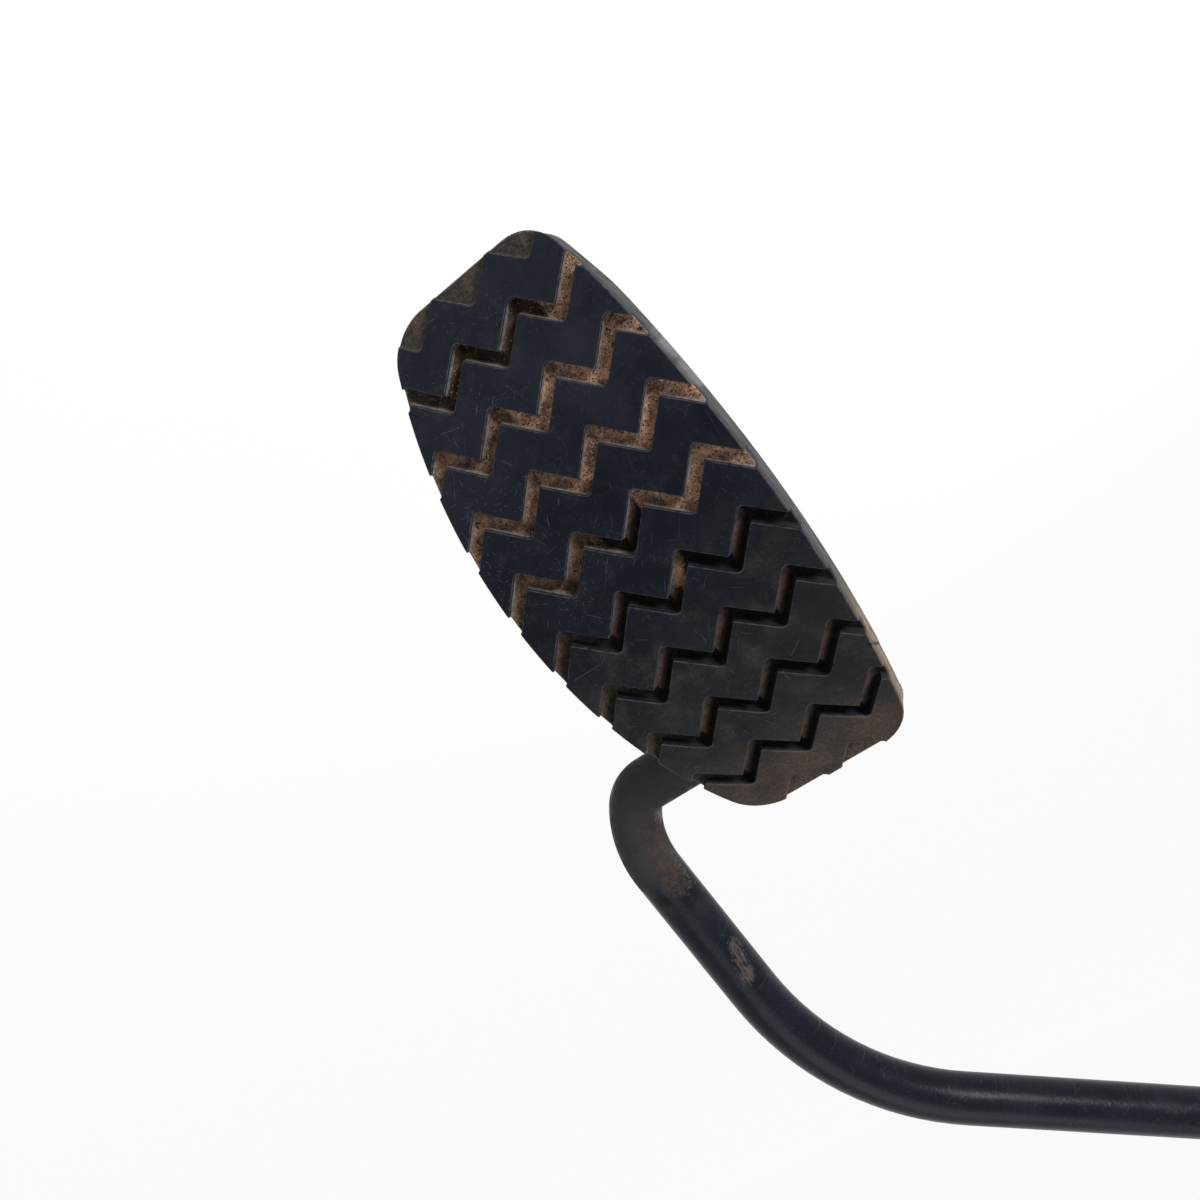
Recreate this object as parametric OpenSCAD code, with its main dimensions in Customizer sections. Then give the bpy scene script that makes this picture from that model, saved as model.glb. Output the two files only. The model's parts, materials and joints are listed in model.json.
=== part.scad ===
// Car accelerator pedal: a bowed rubber pad hinged on the end of a bent round bar, whose
// other end is the pivot shaft in a bulkhead bracket with its cable lever, return spring and stops.
// Millimetres. +X is the driver's right, +Y is forwards and +Z is up. The origin is the centre
// of the four mounting holes, on the face that lies against the bulkhead.
// The pad and the bar are drawn in the pad's own frame: X across the pad, Y up along it and
// Z out of its tread, from the crest of the tread at the pad's centre.

/* [Tread pad] */
// Length of the pad, measured straight from end to end
pad_length = 105.4; // [90:0.2:125]
// Width of the pad at its middle
pad_width = 46.8; // [44:0.2:56]
// Radius in plan of the barrel-shaped long sides
side_radius = 180; // [150:5:400]
// Radius in plan of the four corners
corner_radius = 8.5; // [6:0.5:12]
// Radius of the tread's bow along the pad
bow_radius = 91.7; // [80:0.1:140]
// Rubber between the tread's face and the steel plate
tread_t = 3.7; // [3.2:0.1:6]
// Depth of the zigzag grooves
groove_depth = 2.7; // [1:0.1:2.9]
// Width of a groove, square to its run
groove_width = 2.3; // [1.2:0.1:3.2]
// Length of one full zigzag across the pad
zigzag_pitch = 11.8; // [9:0.1:15]
// Distance between grooves along the pad
groove_pitch = 11.56; // [9:0.02:15]
// How far the middle of the groove pattern lies above the pad's centre
pattern_shift = 0.54; // [-3:0.02:3]
// Rubber outside the edge of the steel plate
rim_w = 1.8; // [1.2:0.1:3]
// Thickness of the lip that is hooked under the plate
lip_t = 1.3; // [0.8:0.1:2.5]
// How far the lip reaches in under the plate
lip_reach = 1.8; // [0.8:0.1:2]

/* [Pad plate] */
// Thickness of the pressed steel plate
plate_t = 1.5; // [1:0.1:2]
// Distance of each hinge lug from the pad's middle
lug_offset = 13; // [11.5:0.5:13.5]
// Steel left round the bar in a hinge lug
lug_wall = 2.2; // [1.5:0.1:3]
// Width of the stop tongue
tongue_w = 12; // [9:0.5:14]
// Steel left round the slot in the stop tongue
tongue_edge = 2.2; // [1.5:0.1:3]

/* [Pedal rod] */
// Diameter of the bar
rod_d = 10; // [8:0.5:10.5]
// Distance of the bar's hinge end from the upper end of the pad
hinge_in = 14.8; // [14:0.1:22]
// Distance of the bar's long leg from the pad's middle
leg_offset = 40.8; // [38:0.2:50]
// Angle of the tight first part of the crook beside the pad
crook_angle = 51; // [40:1:60]
// Radius of the tight first part of the crook
crook_radius = 6.7; // [6.2:0.1:9]
// Radius of the wide second part of the crook
sweep_radius = 21.4; // [15:0.2:28]
// Length of the long leg from the hinge end's level to the corner of the long bend
leg_length = 74; // [64:0.5:95]
// Angle of the long bend
leg_bend = 45.4; // [35:0.2:52]
// Turn of the long bend away from the driver
leg_roll = 21.8; // [12:0.2:30]
// Radius of the long bend
leg_radius = 65.3; // [50:0.1:75]
// Length from the long bend's corner to the shaft's corner
arm_length = 120; // [100:1:140]
// Radius of the bend into the pivot shaft
shaft_radius = 22; // [16:1:28]
// Tilt of the pad's length from the horizontal at rest
pad_rake = 50; // [40:1:60]
// Chamfer at the bar's ends
rod_chamfer = 0.8; // [0.4:0.1:1.5]

/* [Pad hinge] */
// Free length of bar past the outer face of the far lug
hinge_stub = 1.6; // [0.9:0.1:1.8]
// Diameter of the roll pin that limits the pad's tilt
stop_pin_d = 4; // [3:0.5:4]
// How far the roll pin stands past the stop tongue
stop_pin_over = 2; // [1:0.1:3]
// How far the pad tilts on the bar, in degrees
pad_tilt = 15; // [8:1:16]
// Wire of the pad's spring
pad_wire_d = 1.2; // [0.8:0.1:1.2]
// Whole turns of the pad's spring, over the part turn between its ends
pad_spring_turns = 4; // [2:1:5]
// Distance below the hinge of the tip of the spring's leg on the plate
pad_leg_reach = 13; // [11:0.5:16]

/* [Cable lever] */
// Height of the cable eye above the shaft
lever_up = 50; // [42:1:65]
// Thickness of the lever
lever_t = 4; // [3:0.5:6]
// Width of the lever's arm
lever_w = 13; // [11:0.5:16]
// Steel left round the cable bush in the lever's eye
eye_wall = 3; // [2:0.5:4]
// Radius of the lever's hub
hub_radius = 10; // [8.5:0.5:11]
// Length of the lever's tail below the shaft
tail_down = 22; // [20:0.5:26]
// Radius of the tail's rounded end
tail_radius = 4; // [3:0.5:5]
// How far the middle of the tail's end lies behind the shaft
tail_back = 2.5; // [1:0.5:4]
// Radius of the cable's hole in the bush
cable_bore_r = 3; // [2:0.5:3.5]
// Wall of the cable bush
cable_bush_wall = 1.5; // [1:0.1:2]
// How far the cable bush's rims stand proud round the eye
cable_rim = 1.6; // [1:0.1:2.5]
// Thickness of the cable bush's rims
cable_rim_t = 1; // [0.6:0.1:1.6]
// Leg of the weld bead round the shaft on each side of the lever
weld_leg = 2; // [1:0.1:3]

/* [Return spring] */
// Wire of the return spring
wire_d = 2.2; // [1.6:0.1:2.4]
// Whole turns of the return spring, over the part turn between its legs
spring_turns = 4; // [2:1:5]
// Wall of the nylon spool inside the spring
spool_wall = 1.9; // [1.2:0.1:2.2]
// Thickness of the spool's flange
spool_flange_t = 1; // [0.8:0.1:2]
// Distance below the shaft of the leg's tip on the mounting plate
spring_leg_down = 20; // [16:1:24]
// Distance above the shaft of the leg's hook behind the lever
spring_leg_up = 20; // [15:1:28]

/* [Bracket] */
// Distance between the mounting holes across the plate
hole_gap_x = 76; // [70:1:90]
// Distance between the mounting holes up the plate
hole_gap_z = 50; // [46:1:64]
// Distance of the mounting holes from the plate's side edges
side_margin = 8; // [7:0.5:14]
// Distance of the mounting holes from the plate's upper and lower edges
end_margin = 10; // [8:0.5:16]
// Thickness of the mounting plate
base_t = 3; // [2:0.5:4]
// Corner radius of the mounting plate
base_corner = 8; // [4:1:12]
// Radius of a mounting hole
hole_r = 3.3; // [2.7:0.1:4.3]
// Distance of the fork's middle left of the mounting plate's middle
fork_left = 18; // [14:1:20]
// Clear distance between the fork's ears
fork_gap = 26; // [22:1:30]
// Thickness of the fork's steel
fork_t = 2.5; // [2:0.1:3]
// Half the height of the fork
fork_radius = 12; // [10.5:0.5:14]
// Inside radius of the fork's bends
fork_bend = 1.5; // [1:0.1:3]
// Distance of the shaft from the bulkhead face
shaft_standoff = 26; // [25:0.5:34]

/* [Pivot] */
// Wall of the nylon shaft bushes
bush_wall = 1.5; // [1:0.1:2]
// Length of the shaft bushes without their flange
bush_length = 8; // [5:0.5:10]
// Thickness of the bushes' flange
bush_flange_t = 1.5; // [1:0.1:2.5]
// How far the bushes' flange stands out round the ear's hole
bush_flange_w = 2.5; // [1.5:0.1:3.5]
// Thickness of the plain washer
washer_t = 1; // [0.6:0.1:1.6]
// Outer radius of the washers
washer_r = 8.5; // [7.5:0.1:10]
// Thickness of the wave washer's steel
wave_t = 0.4; // [0.3:0.1:0.6]
// Height of the wave washer's waves
wave_h = 0.5; // [0.3:0.1:1]
// Thickness of the spring clip
clip_t = 0.9; // [0.6:0.1:1.2]
// Depth of the clip's groove in the shaft
clip_groove = 1; // [0.6:0.1:1.2]
// Outer radius of the clip
clip_r = 8; // [7:0.1:9]
// Length of the shaft past the clip
shaft_tail = 3; // [2:0.5:6]

/* [Stops] */
// How far the pedal turns from idle to full throttle, in degrees
pedal_travel = 18; // [12:1:20]
// Height of the idle buffer above the shaft
buffer_up = 23; // [20:0.5:28]
// Radius of the idle buffer at its foot
buffer_foot_r = 7; // [6:0.5:8]
// Radius of the idle buffer at its tip
buffer_tip_r = 5; // [4:0.5:5.5]
// Thread radius of the full-throttle stop screw
screw_r = 3; // [2.5:0.5:3]
// Width across the flats of the screw's head and its nuts
hex_flats = 10; // [9:0.5:11]
// Thickness of the screw's head
head_t = 4; // [3:0.5:4]
// Thickness of the lock nut
lock_nut_t = 3; // [2:0.5:3.5]
// Thickness of the weld nut
weld_nut_t = 4; // [3:0.5:5]

/* [Fits] */
// Radial running clearance of a shaft in its hole
run_fit = 0.06; // [0.02:0.01:0.1]
// Clearance of pieces that are seated in or on each other
seat_fit = 0.04; // [0.02:0.01:0.1]
// End float of what turns on the shaft
end_float = 0.15; // [0.1:0.05:0.4]
// Gap that is left at a stop
stop_gap = 0.3; // [0.2:0.05:0.6]
// Gap between the bar and the back of the pad plate
hinge_gap = 0.4; // [0.3:0.05:0.8]

/* [Hidden] */

// Facets of round faces and of wide bends, and of a spring's wire round itself and along its coil
round_fn = 64;
bow_fn = 240;
wire_sides = 8;
rings_per_turn = 24;

// How the lengths of a bent bar are joined
hair = 0.002;
core_length = 0.6;
core_step = 0.2;

// Small gaps round the hinge lugs, the bar in the lip, the pin in its slot, the coils, the washers,
// the lever and the screw, and how far hidden ends stay in
lug_gap = 0.4;
notch_gap = 0.8;
slot_gap = 0.25;
coil_gap = 0.3;
washer_gap = 0.3;
lever_gap = 0.6;
bend_gap = 1;
thread_gap = 0.4;
ring_gap = 0.1;
end_inset = 0.5;
coil_spread = 1.08;
rod_r = rod_d / 2;

// The tread's outline in plan: two long side arcs and four corner arcs
half_length = pad_length / 2;
groove_count = 2 * ceil(half_length / groove_pitch);
side_centre = side_radius - pad_width / 2;
corner_y = half_length - corner_radius;
corner_x = sqrt(pow(side_radius - corner_radius, 2) - pow(corner_y, 2)) - side_centre;
side_angle = atan2(corner_y, corner_x + side_centre);
side_steps = 12;
corner_steps = 8;

// Layers of the pad, as radii about the axis of its bow
plate_top = bow_radius - tread_t;
plate_back = plate_top - plate_t;
pad_bottom = plate_back - lip_t;
prism_bottom = -45;
prism_height = 55;

// The hinge: the bar's axis lies square under the pad, a hair below the plate
hinge_up = half_length - hinge_in;
hinge_radius = plate_back - hinge_gap - rod_r;
hinge_angle = asin(hinge_up / hinge_radius);
hinge_z = hinge_radius * cos(hinge_angle) - bow_radius;
plate_gap = rod_r + hinge_gap;
lug_r = rod_r + lug_wall;
window_half = lug_r + lug_gap;
lip_notch = rod_r + notch_gap;
tongue_y = -window_half - plate_t / 2;
pin_r = stop_pin_d / 2;
slot_half = pin_r / cos(pad_tilt / 2) + (window_half + plate_t) * tan(pad_tilt / 2) + stop_gap / 2;

// The bar's path: its hinge end, four corners and the shaft's far end, in the pad's frame
crook_run = crook_radius * tan(crook_angle / 2) + sweep_radius * tan((90 - crook_angle) / 2);
arm_dir = [-sin(leg_bend) * cos(leg_roll), cos(leg_bend), -sin(leg_bend) * sin(leg_roll)];
shaft_turn = acos(-arm_dir.x);
shaft_run = shaft_radius * tan(shaft_turn / 2);
leg_corner = [leg_offset, hinge_up + leg_length, hinge_z];
shaft_corner = leg_corner + arm_length * arm_dir;

base_w = hole_gap_x + 2 * side_margin;
base_h = hole_gap_z + 2 * end_margin;

// Places along the shaft, from its bend leftwards
fork_x = -fork_left;
ear_r_in = fork_x + fork_gap / 2;
ear_r_out = ear_r_in + fork_t;
ear_l_in = fork_x - fork_gap / 2;
ear_l_out = ear_l_in - fork_t;
coil_pitch = wire_d * coil_spread;
coil_r = rod_r + run_fit + spool_wall + coil_gap + wire_d / 2;
spool_x = ear_r_out + bush_flange_t + end_float;
coil_x = spool_x + spool_flange_t + coil_gap + wire_d / 2;
leg_a = [shaft_standoff - base_t - wire_d / 2 - stop_gap, -spring_leg_down];
leg_b = [-lever_w / 2 - wire_d / 2 - ring_gap, spring_leg_up];
coil_start = tangent_angle(leg_a, coil_r, -1);
coil_end = tangent_angle(leg_b, coil_r, 1) - 360 * spring_turns - 360;
coil_length = (coil_start - coil_end) / 360 * coil_pitch;
lever_x = coil_x + coil_length + wire_d / 2 + lever_gap;
bend_x = lever_x + lever_t + weld_leg + bend_gap;
wave_x = ear_l_out - bush_flange_t - end_float;
washer_x = wave_x - wave_h - wave_t - ring_gap;
clip_x = washer_x - washer_t - ring_gap;
shaft_end = clip_x - clip_t - shaft_tail;

// The pad's place on the car: its shaft corner lies on the pivot axis
pad_at = [bend_x + shaft_run, -shaft_standoff, 0] - turned(shaft_corner, pad_rake);
rod_tip = -lug_offset - plate_t / 2 - hinge_stub;
shaft_tip = shaft_corner - [bend_x + shaft_run - shaft_end, 0, 0];
rod_path = [
    [rod_tip, hinge_up, hinge_z],
    [leg_offset - crook_run * cos(crook_angle), hinge_up, hinge_z],
    [leg_offset, hinge_up + crook_run * sin(crook_angle), hinge_z],
    leg_corner,
    shaft_corner,
    shaft_tip
];
rod_radii = [0, crook_radius, sweep_radius, leg_radius, shaft_radius];

// The pad's spring: a hook over the roll pin, its coil round the bar and a leg on the plate
pad_coil_r = rod_r + coil_gap + pad_wire_d / 2;
pad_coil_pitch = pad_wire_d * coil_spread;
pad_coil_x = pin_r + 2 * pad_wire_d;
pad_leg_z = sqrt(pow(plate_back, 2) - pow(pad_leg_reach, 2)) - hinge_radius - pad_wire_d / 2 - 2 * stop_gap;
pad_leg = [-pad_leg_reach, pad_leg_z];
hook_lift = pin_r + pad_wire_d / 2 + coil_gap;
hook_angle = 180 + pad_tilt / 2 - asin(hook_lift / pad_coil_r);
pad_coil_end = tangent_angle(pad_leg, pad_coil_r, -1) + 360 * (pad_spring_turns + 1);

// The full-throttle stop: where the tail's end comes to at full travel
tail_travel_y = -tail_back * cos(pedal_travel) + tail_down * sin(pedal_travel) + tail_radius;
tail_travel_z = -tail_back * sin(pedal_travel) - tail_down * cos(pedal_travel);
head_y = -shaft_standoff + tail_travel_y + stop_gap;
lever_mid = lever_x + lever_t / 2;
buffer_face_y = -shaft_standoff + lever_w / 2 + stop_gap;
neck_r = buffer_foot_r / 2;

function turned(v, a) = [v.x, v.y * cos(a) - v.z * sin(a), v.y * sin(a) + v.z * cos(a)];
function unit(v) = v / norm(v);
function arc(c, r, a0, a1, n) = [for (i = [0:n]) let (a = a0 + (a1 - a0) * i / n) c + r * [cos(a), sin(a)]];
// Angle on a coil at which a straight leg to point p leaves it, one way round or the other
function tangent_angle(p, r, way) = atan2(p.y, p.x) + way * acos(r / norm(p));
function bend_of(p, i) = acos(unit(p[i] - p[i - 1]) * unit(p[i + 1] - p[i]));

// The pad's outline in plan, moved inwards by a given inset
module pad_outline(inset = 0) {
    side = side_radius - inset;
    corner = corner_radius - inset;
    right = concat(
        arc([corner_x, -corner_y], corner, -90, -side_angle, corner_steps),
        arc([-side_centre, 0], side, -side_angle, side_angle, side_steps),
        arc([corner_x, corner_y], corner, side_angle, 90, corner_steps));
    polygon(concat(right, [for (i = [len(right) - 1:-1:0]) [-right[i].x, right[i].y]]));
}

module pad_prism(inset = 0) {
    translate([0, 0, prism_bottom]) linear_extrude(prism_height) pad_outline(inset);
}

// Everything inside a given radius about the axis of the pad's bow
module bow(r) {
    translate([0, 0, -bow_radius]) rotate([0, 90, 0])
        cylinder(r = r, h = 2 * pad_width, center = true, $fn = bow_fn);
}

// Zigzag groove number i. The first and the last take everything out to the pad's end with them.
module groove_cut(i) {
    ends = ceil(pad_width / zigzag_pitch) * 2;
    step = zigzag_pitch / 2;
    centre = [for (k = [-ends:ends]) [k * step, (k % 2 == 0 ? 1 : -1) * step / 2]];
    half = groove_width / sqrt(2);
    upper = [for (p = centre) i == groove_count - 1 ? [p.x, pad_length] : p + [0, half]];
    lower = [for (p = centre) i == 0 ? [p.x, -pad_length] : p - [0, half]];
    translate([0, (i - (groove_count - 1) / 2) * groove_pitch + pattern_shift, prism_bottom])
        linear_extrude(prism_height)
            polygon(concat(upper, [for (k = [len(lower) - 1:-1:0]) lower[k]]));
}

// Moves its children into the frame of the hinge: Z square out of the plate, X along the bar
module at_hinge() {
    translate([0, hinge_up, hinge_z]) rotate([-hinge_angle, 0, 0]) children();
}

// Moves its children from the pad's frame to the pad's place on the car
module at_pad() {
    translate(pad_at) rotate([pad_rake, 0, 0]) children();
}

// Moves its children to the shaft at a given place along it, with their Z along the shaft
module on_shaft(x) {
    translate([x, -shaft_standoff, 0]) rotate([0, 90, 0]) children();
}

// A round hole through something that lies between Z = 0 and a given height
module hole(r, h) {
    translate([0, 0, -1]) cylinder(r = r, h = h + 2, $fn = round_fn);
}

// A ring on the shaft, from x over a given length
module shaft_ring(x, length, r_out, r_in) {
    on_shaft(x) difference() {
        cylinder(r = r_out, h = length, $fn = round_fn);
        hole(r_in, length);
    }
}

// A straight round bar between two points
module bar(p, q, d) {
    v = q - p;
    translate(p) rotate([0, acos(v.z / norm(v)), atan2(v.y, v.x)])
        cylinder(d = d, h = norm(v), $fn = round_fn);
}

// A round bar bent along a path, with a radius for each of its corners. Each of its straights and
// bends starts a hair past the one before, on a core that is a little thinner and joins the two.
module bent_bar(path, radii, d) {
    last = len(path) - 1;
    run = [for (i = [0:last]) i == 0 || i == last ? 0 : radii[i] * tan(bend_of(path, i) / 2)];
    for (i = [1:last]) {
        u = unit(path[i] - path[i - 1]);
        start = path[i - 1] + run[i - 1] * u;
        bend_start = path[i] - run[i] * u;
        if (norm(bend_start - start) > 2 * hair) {
            bar(start + (i > 1 ? hair : 0) * u, bend_start, d);
            if (i > 1) bar(start - core_length * u, start + core_length * u, d - core_step);
        }
        if (i < last) {
            bar(bend_start - core_length * u, bend_start + core_length * u, d - core_step);
            bend(bend_start, u, unit(path[i + 1] - path[i]), radii[i], d);
        }
    }
}

// A bend of a bar from point p, turning from direction u to direction v
module bend(p, u, v, r, d) {
    n = unit(cross(u, v));
    inward = cross(n, u);
    c = p + r * inward;
    late = hair / r * 180 / PI;
    multmatrix([
        [-inward.x, u.x, n.x, c.x],
        [-inward.y, u.y, n.y, c.y],
        [-inward.z, u.z, n.z, c.z],
        [0, 0, 0, 1]
    ]) rotate([0, 0, late]) rotate_extrude(angle = acos(u * v) - late, $fn = bow_fn)
        translate([r, 0]) circle(d = d, $fn = round_fn);
}

// Round wire through a list of rings, each given by its centre, an outward and a sideways vector
module wire(rings, d) {
    last = len(rings) - 1;
    points = [for (ring = rings) for (j = [0:wire_sides - 1]) let (b = 360 * j / wire_sides)
        ring[0] + d / 2 * (cos(b) * ring[1] + sin(b) * ring[2])];
    caps = [[for (j = [wire_sides - 1:-1:0]) j], [for (j = [0:wire_sides - 1]) last * wire_sides + j]];
    sides = [for (i = [0:last - 1]) for (j = [0:wire_sides - 1])
        let (a = i * wire_sides + j, b = i * wire_sides + (j + 1) % wire_sides)
            each [[a, b, b + wire_sides], [a, b + wire_sides, a + wire_sides]]];
    polyhedron(points, concat(caps, sides), 10);
}

// Rings along a coil about the X axis, from one angle to another, less a few at its start
function coil_rings(x, r, a0, a1, pitch, skip = 0) =
    let (n = ceil(abs(a1 - a0) / 360 * rings_per_turn))
        [for (i = [skip:n]) let (a = a0 + (a1 - a0) * i / n)
            [on_coil(x + abs(a - a0) / 360 * pitch, r, a), away(a), side_of(along(a, sign(a1 - a0)), a)]];
function on_coil(x, r, a) = [x, r * cos(a), r * sin(a)];
function away(a) = [0, cos(a), sin(a)];
function along(a, way) = way * [0, -sin(a), cos(a)];
function side_of(travel, a) = cross(travel, away(a));

// The rubber tread: blocks between zigzag grooves, a rim round the plate and a lip under it
module tread_pad() {
    color([0.10, 0.11, 0.13]) at_pad() difference() {
        intersection() {
            pad_prism();
            difference() {
                bow(bow_radius);
                bow(pad_bottom);
            }
        }
        intersection() {
            pad_prism(rim_w);
            difference() {
                bow(plate_top + seat_fit);
                bow(plate_back - seat_fit);
            }
        }
        intersection() {
            union() {
                pad_prism(rim_w + lip_reach);
                at_hinge() cube([2 * pad_width, 2 * lip_notch, 4 * lip_notch], center = true);
            }
            bow(plate_back);
        }
        difference() {
            for (i = [0:groove_count - 1]) groove_cut(i);
            bow(bow_radius - groove_depth);
        }
    }
}

// The steel plate with the two lugs and the slotted tongue that are folded out of its window
module pad_plate() {
    inner = lug_offset - plate_t / 2;
    color([0.28, 0.26, 0.25]) at_pad() difference() {
        union() {
            intersection() {
                pad_prism(rim_w + seat_fit);
                difference() {
                    bow(plate_top);
                    bow(plate_back);
                    at_hinge() cube([2 * inner, 2 * window_half, 4 * lug_r], center = true);
                }
            }
            for (side = [-1, 1]) at_hinge() translate([side * lug_offset, 0, 0]) rotate([0, 90, 0]) {
                cylinder(r = lug_r, h = plate_t, center = true, $fn = round_fn);
                translate([-(plate_gap + plate_t / 2) / 2, 0, 0])
                    cube([plate_gap + plate_t / 2, 2 * lug_r, plate_t], center = true);
            }
            at_hinge() translate([-tongue_w / 2, tongue_y - plate_t / 2, -slot_half - tongue_edge])
                cube([tongue_w, plate_t, slot_half + tongue_edge + plate_gap]);
        }
        at_hinge() {
            rotate([0, 90, 0])
                cylinder(r = rod_r + run_fit, h = 3 * lug_offset, center = true, $fn = round_fn);
            translate([0, tongue_y, 0])
                cube([stop_pin_d + 2 * slot_gap, 3 * plate_t, 2 * slot_half], center = true);
        }
    }
}

// The line of the roll pin through the bar: it points down the pad, turned by half of the tilt
module pin_line(r, from, to) {
    at_hinge() rotate([pad_tilt / 2, 0, 0]) rotate([90, 0, 0]) translate([0, 0, from])
        cylinder(r = r, h = to - from, $fn = round_fn);
}

module stop_pin() {
    color([0.45, 0.44, 0.43]) at_pad()
        pin_line(pin_r, end_inset - rod_r, plate_t / 2 - tongue_y + stop_pin_over);
}

module pad_spring() {
    hook = on_coil(pad_coil_x, pad_coil_r, hook_angle);
    hook_out = away(hook_angle);
    leg_x = pad_coil_x + (pad_coil_end - hook_angle) / 360 * pad_coil_pitch;
    color([0.35, 0.35, 0.36]) at_pad() at_hinge() wire(concat(
        [[hook - [pad_coil_x + pin_r + pad_wire_d / 2, 0, 0], hook_out, side_of([1, 0, 0], hook_angle)],
            [hook, hook_out, side_of([1, 0, 0] + along(hook_angle, 1), hook_angle)]],
        coil_rings(pad_coil_x, pad_coil_r, hook_angle, pad_coil_end, pad_coil_pitch, 1),
        [[[leg_x, pad_leg.x, pad_leg.y], away(pad_coil_end), side_of(along(pad_coil_end, 1), pad_coil_end)]]
    ), pad_wire_d);
}

// The bar: hinge end, crook, long leg, long bend, arm and pivot shaft in one
module pedal_rod() {
    groove_r = rod_r - clip_groove;
    color([0.09, 0.09, 0.10]) difference() {
        at_pad() difference() {
            bent_bar(rod_path, rod_radii, rod_d);
            pin_line(pin_r + seat_fit, -rod_d, rod_d);
            translate([rod_tip, hinge_up, hinge_z]) rotate([0, 90, 0]) end_chamfer();
            translate(shaft_tip) rotate([0, 90, 0]) end_chamfer();
        }
        shaft_ring(clip_x - clip_t - seat_fit, clip_t + 2 * seat_fit, rod_r + 1, groove_r);
    }
}

// What a chamfer takes off the end of the bar that lies at the origin and runs up from it
module end_chamfer() {
    difference() {
        translate([0, 0, -1]) cylinder(r = rod_d, h = rod_chamfer + 1, $fn = round_fn);
        translate([0, 0, -1])
            cylinder(r1 = rod_r - rod_chamfer - 1, r2 = rod_r, h = rod_chamfer + 1, $fn = round_fn);
    }
}

// The lever: hub, arm to the cable eye, short tail and a weld bead on each side
module cable_lever() {
    color([0.11, 0.11, 0.12]) {
        on_shaft(lever_x) difference() {
            linear_extrude(lever_t) lever_outline();
            hole(rod_r + seat_fit, lever_t);
            translate([-lever_up, 0, 0]) hole(cable_bore_r + cable_bush_wall + seat_fit, lever_t);
        }
        on_shaft(lever_x + lever_t) weld_bead();
    }
}

// In the shaft's frame the lever's height is along -X and the way forwards is along +Y
module lever_outline() {
    circle(r = hub_radius, $fn = round_fn);
    translate([-lever_up, 0]) circle(r = cable_bore_r + cable_bush_wall + eye_wall, $fn = round_fn);
    translate([tail_down, -tail_back]) circle(r = tail_radius, $fn = round_fn);
    translate([-lever_up, -lever_w / 2]) square([lever_up, lever_w]);
    polygon([[0, -lever_w / 2], [0, lever_w / 2], [tail_down, tail_radius - tail_back],
        [tail_down, -tail_radius - tail_back]]);
}

module weld_bead() {
    rotate_extrude($fn = round_fn)
        polygon([[rod_r + seat_fit, 0], [rod_r + weld_leg, 0], [rod_r + seat_fit, weld_leg]]);
}

module cable_bush() {
    outer = cable_bore_r + cable_bush_wall;
    length = lever_t + 2 * cable_rim_t + 2 * seat_fit;
    color([0.85, 0.84, 0.78]) on_shaft(lever_x - cable_rim_t - seat_fit)
        translate([-lever_up, 0, 0]) difference() {
            union() {
                cylinder(r = outer, h = length, $fn = round_fn);
                for (z = [0, length - cable_rim_t]) translate([0, 0, z])
                    cylinder(r = outer + cable_rim, h = cable_rim_t, $fn = round_fn);
            }
            hole(cable_bore_r, length);
        }
}

module spring_spool() {
    color([0.82, 0.81, 0.76]) {
        shaft_ring(spool_x, lever_x - spool_x - seat_fit, rod_r + run_fit + spool_wall, rod_r + run_fit);
        shaft_ring(spool_x, spool_flange_t, coil_r + wire_d / 2, rod_r + run_fit);
    }
}

// Its fixed leg bears on the mounting plate, and its hook pulls the lever forwards onto the buffer
module return_spring() {
    hook = [coil_x + coil_length, leg_b.x, leg_b.y];
    hook_out = away(coil_end);
    color([0.33, 0.33, 0.34]) translate([0, -shaft_standoff, 0]) wire(concat(
        [[[coil_x, leg_a.x, leg_a.y], away(coil_start), side_of(along(coil_start, -1), coil_start)]],
        coil_rings(coil_x, coil_r, coil_start, coil_end, coil_pitch),
        [[hook, hook_out, side_of([1, 0, 0] + along(coil_end, -1), coil_end)],
            [[lever_x + lever_t + wire_d / 2, hook.y, hook.z], hook_out, side_of([1, 0, 0], coil_end)]]
    ), wire_d);
}

// The mounting plate with its four bolt holes, the buffer's hole and the stop screw's hole
module mounting_plate() {
    color([0.12, 0.12, 0.13]) rotate([90, 0, 0]) difference() {
        linear_extrude(base_t) {
            square([base_w - 2 * base_corner, base_h], center = true);
            square([base_w, base_h - 2 * base_corner], center = true);
            for (x = [-1, 1], z = [-1, 1])
                translate([x * (base_w / 2 - base_corner), z * (base_h / 2 - base_corner)])
                    circle(r = base_corner, $fn = round_fn);
        }
        for (x = [-1, 1], z = [-1, 1]) plate_hole(x * hole_gap_x / 2, z * hole_gap_z / 2, hole_r);
        plate_hole(lever_mid, buffer_up, neck_r + seat_fit);
        plate_hole(lever_mid, tail_travel_z, screw_r + thread_gap);
    }
}

module plate_hole(x, z, r) {
    translate([x, z, 0]) hole(r, base_t);
}

// The fork: one strip bent to a U, with its ears rounded about the shaft
module pivot_fork() {
    depth = shaft_standoff - base_t;
    color([0.13, 0.13, 0.14]) difference() {
        intersection() {
            translate([fork_x, -base_t, -fork_radius])
                linear_extrude(2 * fork_radius) fork_profile(depth + fork_radius);
            union() {
                translate([fork_x - fork_gap, -shaft_standoff, -fork_radius])
                    cube([2 * fork_gap, depth, 2 * fork_radius]);
                on_shaft(fork_x - fork_gap) cylinder(r = fork_radius, h = 2 * fork_gap, $fn = round_fn);
            }
        }
        on_shaft(fork_x - fork_gap)
            cylinder(r = rod_r + run_fit + bush_wall + seat_fit, h = 2 * fork_gap, $fn = round_fn);
    }
}

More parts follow.
